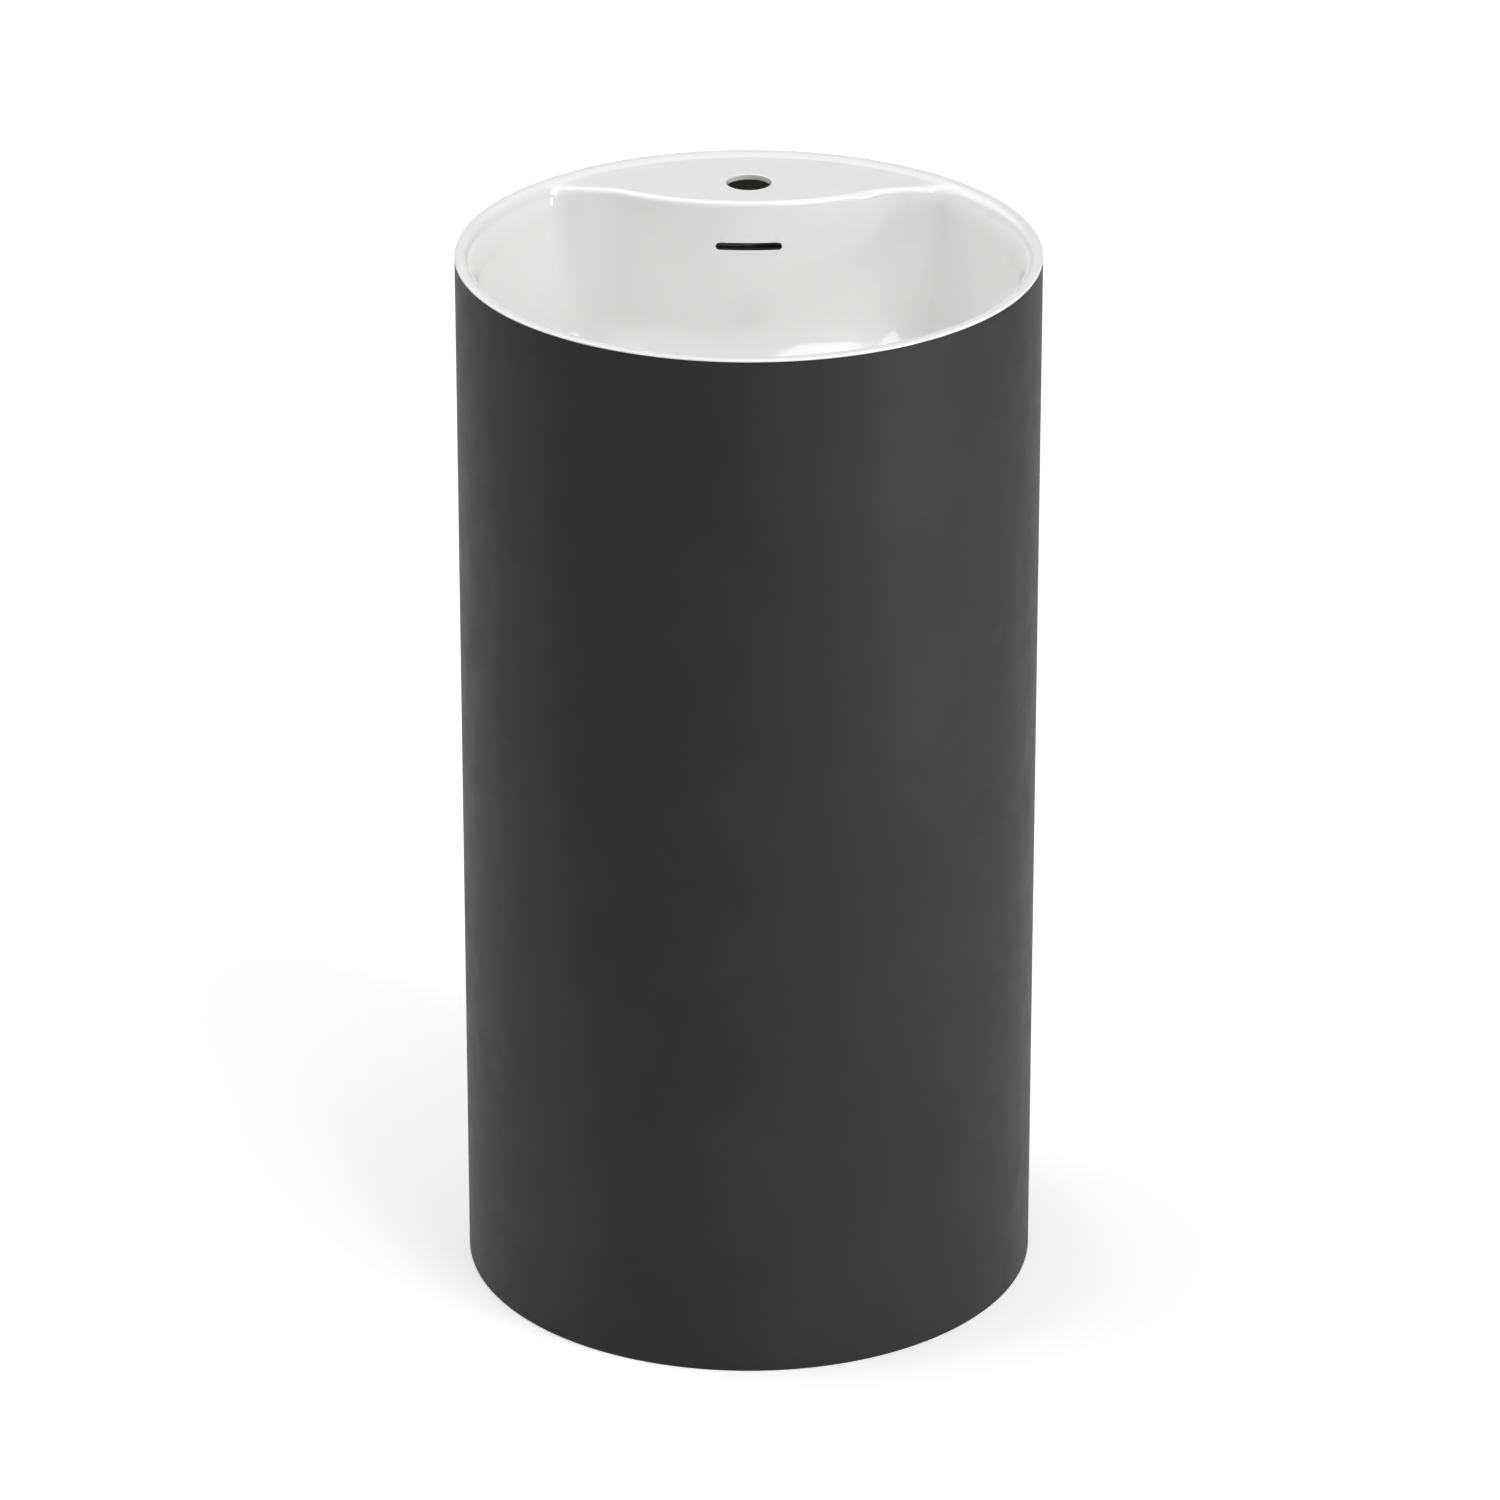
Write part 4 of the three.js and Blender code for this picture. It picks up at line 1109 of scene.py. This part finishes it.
def waste_body():
    bottom, top, flange = span("waste_body")
    under = top - FLANGE_EDGE
    thread_foot = bottom + THREAD_LEAD
    crown = (FLANGE_CHAMFER, FLANGE_EDGE / 2)
    profile = rounded([
        (THREAD_RADIUS, THREAD_TOP),
        (THREAD_RADIUS, under - (NECK_RADIUS - THREAD_RADIUS)),
        (NECK_RADIUS, under),
        (flange, under),
        *arc((flange - crown[0], top - crown[1]), crown, 0, 90),
        (SEAT_RADIUS, top),
        (WASTE_BORE, top - (SEAT_RADIUS - WASTE_BORE)),
        (WASTE_BORE, bottom),
        (THREAD_RADIUS, bottom),
        (THREAD_RADIUS, thread_foot),
    ])
    body = turned(profile, thread=thread_wall(THREAD_RADIUS, thread_foot, THREAD_TOP))
    middle = FLOOR_UNDER_Z - CHANNEL_CAVITY / 2
    half_height = (CHANNEL_CAVITY - CHANNEL_WALL) / 2
    low = (-WINDOW_WIDTH / 2, THREAD_RADIUS - WASTE_BORE / 2, middle - half_height)
    high = (WINDOW_WIDTH / 2, THREAD_RADIUS + WASTE_BORE / 2, middle + half_height)
    cut(body, *blocks_around(WINDOWS, low, high, WINDOW_CORNER, first=45))
    half_bar = (WASTE_BORE + BAR_ROOT, BAR_WIDTH / 2)
    bar = block((-half_bar[0], -half_bar[1], BAR_TOP - BAR_HEIGHT), (*half_bar, BAR_TOP))
    hub = tube(0, HUB_RADIUS, BAR_TOP - BAR_HEIGHT, BAR_TOP)
    join(body, bevelled(bar), hub)
    cut(body, rod(HOUSING_PIN + GAP, BAR_TOP - 2 * BEYOND, BAR_TOP + BEYOND))
    return body


def waste_bottom_gasket():
    bottom, top, radius = span("waste_bottom_gasket")
    bore = THREAD_RADIUS + GAP
    profile = [(bore, bottom), (radius, bottom), (radius - GASKET_CHAMFER, top), (bore, top)]
    return turned(rounded(profile, GASKET_EDGE))


def waste_locknut():
    bottom, top, flange = span("waste_locknut")
    bore = THREAD_RADIUS + GAP
    foot = top - LOCKNUT_FLANGE_HEIGHT
    thread = (bottom + THREAD_LEAD, top - THREAD_LEAD)
    profile = rounded([
        (bore, thread[0]),
        (bore, bottom),
        *lug_wall(LOCKNUT_RADIUS, bottom, foot),
        (flange, foot),
        (flange, top),
        (bore, top),
        (bore, thread[1]),
    ])
    return lugged(profile, LOCKNUT_RADIUS, bottom, foot)


def plug_housing():
    """Stands on the waste's bar with a pin through it, and guides the stem."""
    bottom, top, radius = span("plug_housing")
    bore = STEM_RADIUS + STEM_PLAY
    profile = [
        (0, bottom),
        (HOUSING_PIN, bottom),
        (HOUSING_PIN, BAR_TOP + GAP),
        (radius, BAR_TOP + GAP),
        (radius, top),
        (bore, top),
        (bore, HOUSING_FLOOR),
        (0, HOUSING_FLOOR),
    ]
    return turned(rounded(profile))


def plug_spring():
    """Its end turns lie nearly flat, so that it stands square."""
    bottom = HOUSING_FLOOR + GAP + SPRING_WIRE
    top = span("plug_stem")[0] - GAP - SPRING_WIRE
    path = []
    for share in np.linspace(0, 1, SPRING_TURNS * SPRING_STEPS + 1):
        angle = 2 * math.pi * SPRING_TURNS * share
        x, y = SPRING_RADIUS * math.cos(angle), SPRING_RADIUS * math.sin(angle)
        path.append((x, y, bottom + (top - bottom) * spring_rise(share)))
    obj = finish(at_drain(swept(path, SPRING_WIRE)), "plug_spring", SPRING_STEEL, sharp=60)
    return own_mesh(obj)


def spring_rise(share):
    """How far up the spring a share of its wire has got."""
    return SPRING_EVENNESS * share + (1 - SPRING_EVENNESS) * smoothstep(share)


def plug_stem():
    bottom, top, radius = span("plug_stem")
    groove = bottom + STEM_GROOVE_Z
    profile = [
        (0, bottom),
        (radius, bottom),
        (radius, groove),
        (radius - STEM_GROOVE, groove + STEM_GROOVE),
        (radius - STEM_GROOVE, groove + 3 * STEM_GROOVE),
        (radius, groove + 4 * STEM_GROOVE),
        (radius, top),
        (0, top),
    ]
    return turned(rounded(profile))


def plug_cap():
    bottom, top, radius = span("plug_cap")
    under = bottom + PLUG_HUB
    crown_foot = under + PLUG_EDGE
    profile = [
        (0, bottom),
        (HUB_RADIUS, bottom),
        (HUB_RADIUS, under),
        (radius, under),
        *arc((0, crown_foot), (radius, top - crown_foot), 0, 90, 24),
    ]
    return turned(rounded(profile))


# ---------- trap, on the drain's axis ----------

def trap_union_nut():
    """Hangs the inlet tube's collar from the waste's thread."""
    bottom, top = span("trap_union_nut")[:2]
    bore = THREAD_RADIUS + GAP
    floor = span("trap_inlet_tube")[1] - TRAP_WALL - GAP
    thread = (span("waste_body")[0], top - THREAD_LEAD)
    profile = rounded([
        (bore, thread[0]),
        (bore, floor),
        (PIPE_RADIUS + GAP, floor),
        (PIPE_RADIUS + GAP, bottom),
        *lug_wall(NUT_RADIUS, bottom, top),
        (bore, top),
        (bore, thread[1]),
    ])
    return lugged(profile, NUT_RADIUS, bottom, top)


def trap_inlet_tube():
    bottom, top, collar = span("trap_inlet_tube")
    profile = [
        (PIPE_BORE, bottom),
        (PIPE_RADIUS, bottom),
        (PIPE_RADIUS, top - TRAP_WALL),
        (collar, top - TRAP_WALL),
        (collar, top),
        (PIPE_BORE, top),
    ]
    return turned(rounded(profile, TUBE_EDGE))


def slip_nut():
    """A slip joint's nut round a pipe. The joint's socket ends at z = 0."""
    bore = BOSS_RADIUS + GAP
    pipe_hole = PIPE_RADIUS + GAP
    lug_top = NUT_TOP - NUT_BRIM
    thread = (THREAD_LEAD - NUT_SKIRT, -THREAD_LEAD)
    profile = rounded([
        (bore, thread[0]),
        (bore, -NUT_SKIRT),
        *lug_wall(NUT_RADIUS, -NUT_SKIRT, lug_top),
        (NUT_RADIUS, NUT_TOP),
        (pipe_hole, NUT_TOP),
        (pipe_hole, CONE_HEIGHT),
        (bore, CONE_HEIGHT),
        (bore, thread[1]),
    ])
    return lugged(profile, NUT_RADIUS, -NUT_SKIRT, lug_top)


def cone_washer():
    bore = PIPE_RADIUS + GAP
    top = CONE_HEIGHT - GAP
    outer = BOSS_RADIUS - SEAL_INSET
    profile = [(bore, GAP), (outer, GAP), (outer, top / 2), (outer - CONE_TAPER, top), (bore, top)]
    return turned(rounded(profile, CONE_EDGE))


def on_inlet(obj):
    return at_drain(shift(obj, z=BOSS_TOP))


def sideways(obj):
    """Turns a piece's +Z to +Y and lifts it to the outlet's height."""
    return shift(turn(obj, -90, "X"), z=OUTLET_Z)


def on_outlet(obj):
    """Lays a piece along the outlet, at the end of the trap's side boss."""
    return shift(sideways(obj), y=DRAIN_Y + BOSS_END)


def slip_joints():
    for place, name in ((on_inlet, "inlet"), (on_outlet, "outlet")):
        finish(place(slip_nut()), f"trap_{name}_nut", WHITE_PLASTIC)
        finish(place(cone_washer()), f"trap_{name}_cone_washer", RUBBER)


def threaded_boss(start, end):
    """A solid boss along +Z whose thread runs up to its end."""
    thread_foot = end - NUT_SKIRT
    thread_end = end - THREAD_LEAD
    profile = rounded([
        (BOSS_RADIUS, thread_end),
        (BOSS_RADIUS, end),
        (0, end),
        (0, start),
        (BOSS_RADIUS, start),
        (BOSS_RADIUS, thread_foot),
    ])
    return turned(profile, thread=thread_wall(BOSS_RADIUS, thread_foot, thread_end))


def trap_head():
    bottom = span("trap_head")[0]
    collar_z = span("trap_cup_seal")[1] + GAP
    thread = (bottom + THREAD_LEAD, span("trap_cup")[1] - THREAD_LEAD)
    shoulder = (HEAD_SHOULDER, HEAD_SHOULDER)
    profile = rounded([
        (HEAD_RADIUS, thread[1]),
        (HEAD_RADIUS, collar_z),
        (CUP_RADIUS, collar_z),
        (CUP_RADIUS, collar_z + COLLAR_HEIGHT),
        (HEAD_RADIUS, collar_z + COLLAR_HEIGHT),
        *arc((HEAD_RADIUS - HEAD_SHOULDER, HEAD_TOP - HEAD_SHOULDER), shoulder, 0, 90),
        (0, HEAD_TOP),
        (0, bottom),
        (HEAD_RADIUS, bottom),
        (HEAD_RADIUS, thread[0]),
    ], TRAP_EDGE)
    body = turned(profile, thread=thread_wall(HEAD_RADIUS, *thread, pitch=CUP_PITCH))
    side = sideways(threaded_boss(0, BOSS_END))
    join(body, threaded_boss(HEAD_TOP - HEAD_SHOULDER, BOSS_TOP), side)
    inside = HEAD_RADIUS - TRAP_WALL
    socket = PIPE_RADIUS + GAP
    cavity = turned([
        (0, bottom - BEYOND),
        (inside, bottom - BEYOND),
        *arc((inside - TRAP_WALL, HEAD_TOP - 2 * TRAP_WALL), (TRAP_WALL, TRAP_WALL), 0, 90),
        (0, HEAD_TOP - TRAP_WALL),
    ])
    tools = [rod(PIPE_BORE, 0, BOSS_END), rod(socket, BOSS_END - SOCKET_DEPTH, BOSS_END + BEYOND)]
    outlet = [sideways(tool) for tool in tools]
    cut(body, cavity, rod(socket, HEAD_TOP - BEYOND, BOSS_TOP + BEYOND), *outlet)
    return body


def trap_cup():
    bottom, top = span("trap_cup")[:2]
    bore = HEAD_RADIUS + GAP
    foot = CUP_KNEE - CUP_FOOT
    floor = bottom + CUP_WALL
    thread = (span("trap_head")[0] + THREAD_LEAD, top - THREAD_LEAD)
    profile = rounded([
        (bore, thread[0]),
        (bore, thread[0] - 2 * THREAD_LEAD),
        *arc((CUP_FOOT, floor + foot), (foot - TRAP_WALL, foot), 0, -90),
        (0, floor),
        (0, bottom),
        *arc((CUP_FOOT, bottom + foot), (foot, foot), -90, 0),
        (CUP_RADIUS, top - CUP_RIM_HEIGHT),
        (CUP_RADIUS, top),
        (bore, top),
        (bore, thread[1]),
    ])
    wall = thread_wall(bore, *thread, pitch=CUP_PITCH, depth=-THREAD_DEPTH)
    body = turned(profile, thread=wall)
    half = TRAP_WALL / 2
    middle = CUP_RADIUS - CUP_RIB_SINK
    low = (middle - half, -half, bottom + CUP_RIB_BOTTOM)
    high = (middle + half, half, bottom + CUP_RIB_BOTTOM + CUP_RIB_HEIGHT)
    return join(body, *blocks_around(CUP_RIBS, low, high, RIB_EDGE))


def outlet_pipe():
    start, end, radius = span("outlet_pipe", axis=1)
    pipe = tube(PIPE_BORE, radius, start, end, PIPE_EDGE)
    return finish(sideways(pipe), "outlet_pipe", WHITE_PLASTIC)


# ---------- floor fixings, drawn for the +X side ----------

def towards_x(obj):
    """Turns a piece's +Z to +X and lifts it to the screw's height."""
    return shift(turn(obj, 90, "Y"), z=SCREW_Z)


def fixing_block():
    """Bonded inside the shell, with its outer face to the shell's curve."""
    low, high = cad_box("fixing_block_right")
    radius = SHELL_INNER - GAP
    y = np.linspace(low[1], high[1], 17)
    curve = np.column_stack([np.sqrt(radius**2 - y**2), y])
    outline_points = [*curve, (low[0], high[1]), (low[0], low[1])]
    body = bevelled(extruded(outline_points, 2, low[2], high[2]), BLOCK_EDGE)
    hole = rod(INSERT_RADIUS + GAP, low[0] - BEYOND, low[0] + INSERT_LENGTH + GAP)
    return cut(body, towards_x(hole))


def threaded_insert():
    low, high = cad_box("threaded_insert_right")
    bore = SCREW_RADIUS + GAP
    angles = around(KNURLS * KNURL_STEPS)
    knurl = INSERT_RADIUS - KNURL_DEPTH * (0.5 + 0.5 * np.cos(angles * KNURLS))
    plain = INSERT_RADIUS - KNURL_DEPTH
    band = (high[0] - low[0]) / 3
    wall = [
        (plain, low[0]), (knurl, low[0] + KNURL_DEPTH), (knurl, low[0] + band),
        (plain, low[0] + band + KNURL_DEPTH), (plain, high[0] - band - KNURL_DEPTH),
        (knurl, high[0] - band), (knurl, high[0] - KNURL_DEPTH), (plain, high[0]),
    ]
    thread = (low[0] + SCREW_PITCH / 2, high[0] - SCREW_PITCH / 2)
    rows = [(bore, thread[0]), (bore, low[0]), *wall, (bore, high[0]), (bore, thread[1])]
    loops = [circle(radius, z, len(angles)) for radius, z in rows]
    inside = thread_wall(bore, *thread, pitch=SCREW_PITCH, depth=-SCREW_THREAD, steps=len(angles))
    return towards_x(loop_body(loops, inside))


def floor_bracket():
    """Bent from plate: an upright leg and a foot towards the middle, with rounded free corners."""
    low, high = cad_box("floor_bracket_right")
    inner = BRACKET_BEND
    outer = BRACKET_BEND + BRACKET_THICKNESS
    centre = (high[0] - outer, outer)
    half = high[1]
    corners = half - BRACKET_CORNER * (1 - np.sin(quarters(8)))
    loops = []
    for y in np.concatenate([-corners[::-1], corners]):
        past = max(abs(y) - (half - BRACKET_CORNER), 0)
        back = BRACKET_CORNER - math.sqrt(BRACKET_CORNER**2 - past**2)
        profile = [
            (high[0] - BRACKET_THICKNESS, high[2] - back),
            *arc(centre, (inner, inner), 0, -90, 8),
            (low[0] + back, BRACKET_THICKNESS),
            (low[0] + back, 0),
            *arc(centre, (outer, outer), -90, 0, 8),
            (high[0], high[2] - back),
        ]
        loops.append([(x, y, z) for x, z in profile])
    body = lofted(loops, closed=False)
    leg = high[0] - BRACKET_THICKNESS
    floor_slot = slot_tool(BRACKET_SLOT_LENGTH, FOOT_SLOT_WIDTH, -BEYOND, BEYOND)
    leg_slot = slot_tool(BRACKET_SLOT_LENGTH, LEG_SLOT_WIDTH, leg - BEYOND, leg + BEYOND)
    cut(body, shift(floor_slot, x=leg - FOOT_SLOT_INSET), towards_x(leg_slot))
    return bevelled(body, PLATE_EDGE, segments=2, angle=50)


def bracket_washer():
    low, high = cad_box("bracket_washer_right")
    return towards_x(tube(SCREW_RADIUS + GAP, high[1], low[0], high[0], PLATE_EDGE))


def bracket_screw():
    """A button-head screw with a hexagon socket."""
    low, high = cad_box("bracket_screw_right")
    head_back = low[0] + SCREW_HEAD_HEIGHT
    tip = high[0] - SCREW_PITCH
    head = (SCREW_HEAD - SOCKET_RADIUS - SCREW_HEAD_FLAT, SCREW_HEAD_HEIGHT - SCREW_HEAD_FLAT)
    profile = rounded([
        (SCREW_RADIUS, head_back + SCREW_PITCH),
        (SCREW_RADIUS, head_back),
        (SCREW_HEAD, head_back),
        *arc((SCREW_HEAD - head[0], low[0] + head[1]), head, 0, -90),
        (0, low[0]),
        (0, high[0]),
        (SCREW_RADIUS - SCREW_THREAD, high[0]),
        (SCREW_RADIUS, tip),
    ], SCREW_EDGE)
    wall = thread_wall(SCREW_RADIUS, head_back + SCREW_PITCH, tip, pitch=SCREW_PITCH, depth=SCREW_THREAD)
    body = turned(profile, thread=wall)
    cut(body, rod(SOCKET_RADIUS, low[0] - BEYOND, head_back - SOCKET_FLOOR, 6))
    return towards_x(body)


def floor_fixings():
    pieces = (
        (fixing_block, "fixing_block", CAST_GREY),
        (threaded_insert, "threaded_insert", BRASS),
        (floor_bracket, "floor_bracket", ZINC_STEEL),
        (bracket_washer, "bracket_washer", ZINC_STEEL),
        (bracket_screw, "bracket_screw", ZINC_STEEL),
    )
    for side, degrees in (("right", 0), ("left", 180)):
        for make, name, material in pieces:
            finish(turn(make(), degrees), f"{name}_{side}", material)


# ---------- assembly ----------

DRAIN_PIECES = (
    (waste_body, CHROME),
    (waste_bottom_gasket, RUBBER),
    (waste_locknut, BRASS),
    (plug_housing, BLACK_PLASTIC),
    (plug_stem, BLACK_PLASTIC),
    (plug_cap, CHROME),
    (trap_union_nut, WHITE_PLASTIC),
    (trap_inlet_tube, WHITE_PLASTIC),
    (trap_head, WHITE_PLASTIC),
    (trap_cup, WHITE_PLASTIC),
)

# Rubber rings round the drain's axis: node, bore and the rounding of their edges
SLEEVES = (
    ("waste_top_gasket", NECK_RADIUS + GAP, SOFT_EDGE),
    ("plug_seal", HUB_RADIUS + GAP, 0.8),
    ("trap_union_washer", PIPE_BORE + WASHER_INSET, SOFT_EDGE),
    ("trap_cup_seal", HEAD_RADIUS + GAP, 0.9),
)

shell()
basin()
overflow_channel()
for make, piece_material in DRAIN_PIECES:
    finish(at_drain(make()), make.__name__, piece_material)
for ring_node, ring_bore, ring_edge in SLEEVES:
    finish(at_drain(sleeve(ring_node, ring_bore, ring_edge)), ring_node, RUBBER)
plug_spring()
slip_joints()
outlet_pipe()
floor_fixings()


# ---------- studio, in metres ----------

FLOOR_SIZE = 60
WORLD_LIGHT = 0.12
CAMERA_PLACE = (0.0009, -5.9603, 3.1314)
CAMERA_DOWN = 24.369  # degrees below level
CAMERA_LENS = 200
CAMERA_SENSOR = 36

# Name, place, target, size and power of each soft light
PANELS = (
    ("side_strip", (2.4, -1.5, 0.6), (0, 0, 0.4), (0.5, 2.2), 52),
    ("front_right", (1.6, -1.8, 3.3), (0, 0, 0.8), (2, 2), 47),
    ("overhead", (0, 0, 3.5), (0, 0, 0.8), (2.4, 2.4), 30),
    ("left", (-1.9, 0.1, 2.8), (0, 0, 0.8), (2.4, 2.4), 34),
    ("back_left", (-1.5, 1.6, 2.6), (0, 0, 0.85), (2, 2), 13),
    ("background", (0, 4.2, 2.2), (0, 4.6, 0), (5, 1.6), 66),
)


def studio():
    bpy.ops.mesh.primitive_plane_add(size=FLOOR_SIZE)
    floor = bpy.context.object
    floor.name = "studio_floor"
    floor.data.materials.append(studio_floor())
    world = bpy.data.worlds.new("studio")
    bpy.context.scene.world = world
    world.use_nodes = True
    background = world.node_tree.nodes["Background"]
    background.inputs["Color"].default_value = (1, 1, 1, 1)
    background.inputs["Strength"].default_value = WORLD_LIGHT
    bpy.context.scene.view_settings.view_transform = "Standard"


def panel(name, place, target, size, power):
    light = bpy.data.lights.new(name, "AREA")
    light.shape = "RECTANGLE"
    light.size, light.size_y = size
    light.energy = power
    obj = bpy.data.objects.new(name, light)
    obj.location = place
    obj.rotation_euler = (Vector(target) - Vector(place)).to_track_quat("-Z", "Y").to_euler()
    # The background's light must not mirror in the tap deck
    obj.visible_glossy = name != "background"
    bpy.context.scene.collection.objects.link(obj)


def camera():
    data = bpy.data.cameras.new("camera")
    data.lens = CAMERA_LENS
    data.sensor_width = CAMERA_SENSOR
    obj = bpy.data.objects.new("camera", data)
    obj.location = CAMERA_PLACE
    obj.rotation_euler = (math.radians(90 - CAMERA_DOWN), 0, 0)
    bpy.context.scene.collection.objects.link(obj)
    bpy.context.scene.camera = obj


studio()
for panel_settings in PANELS:
    panel(*panel_settings)
camera()
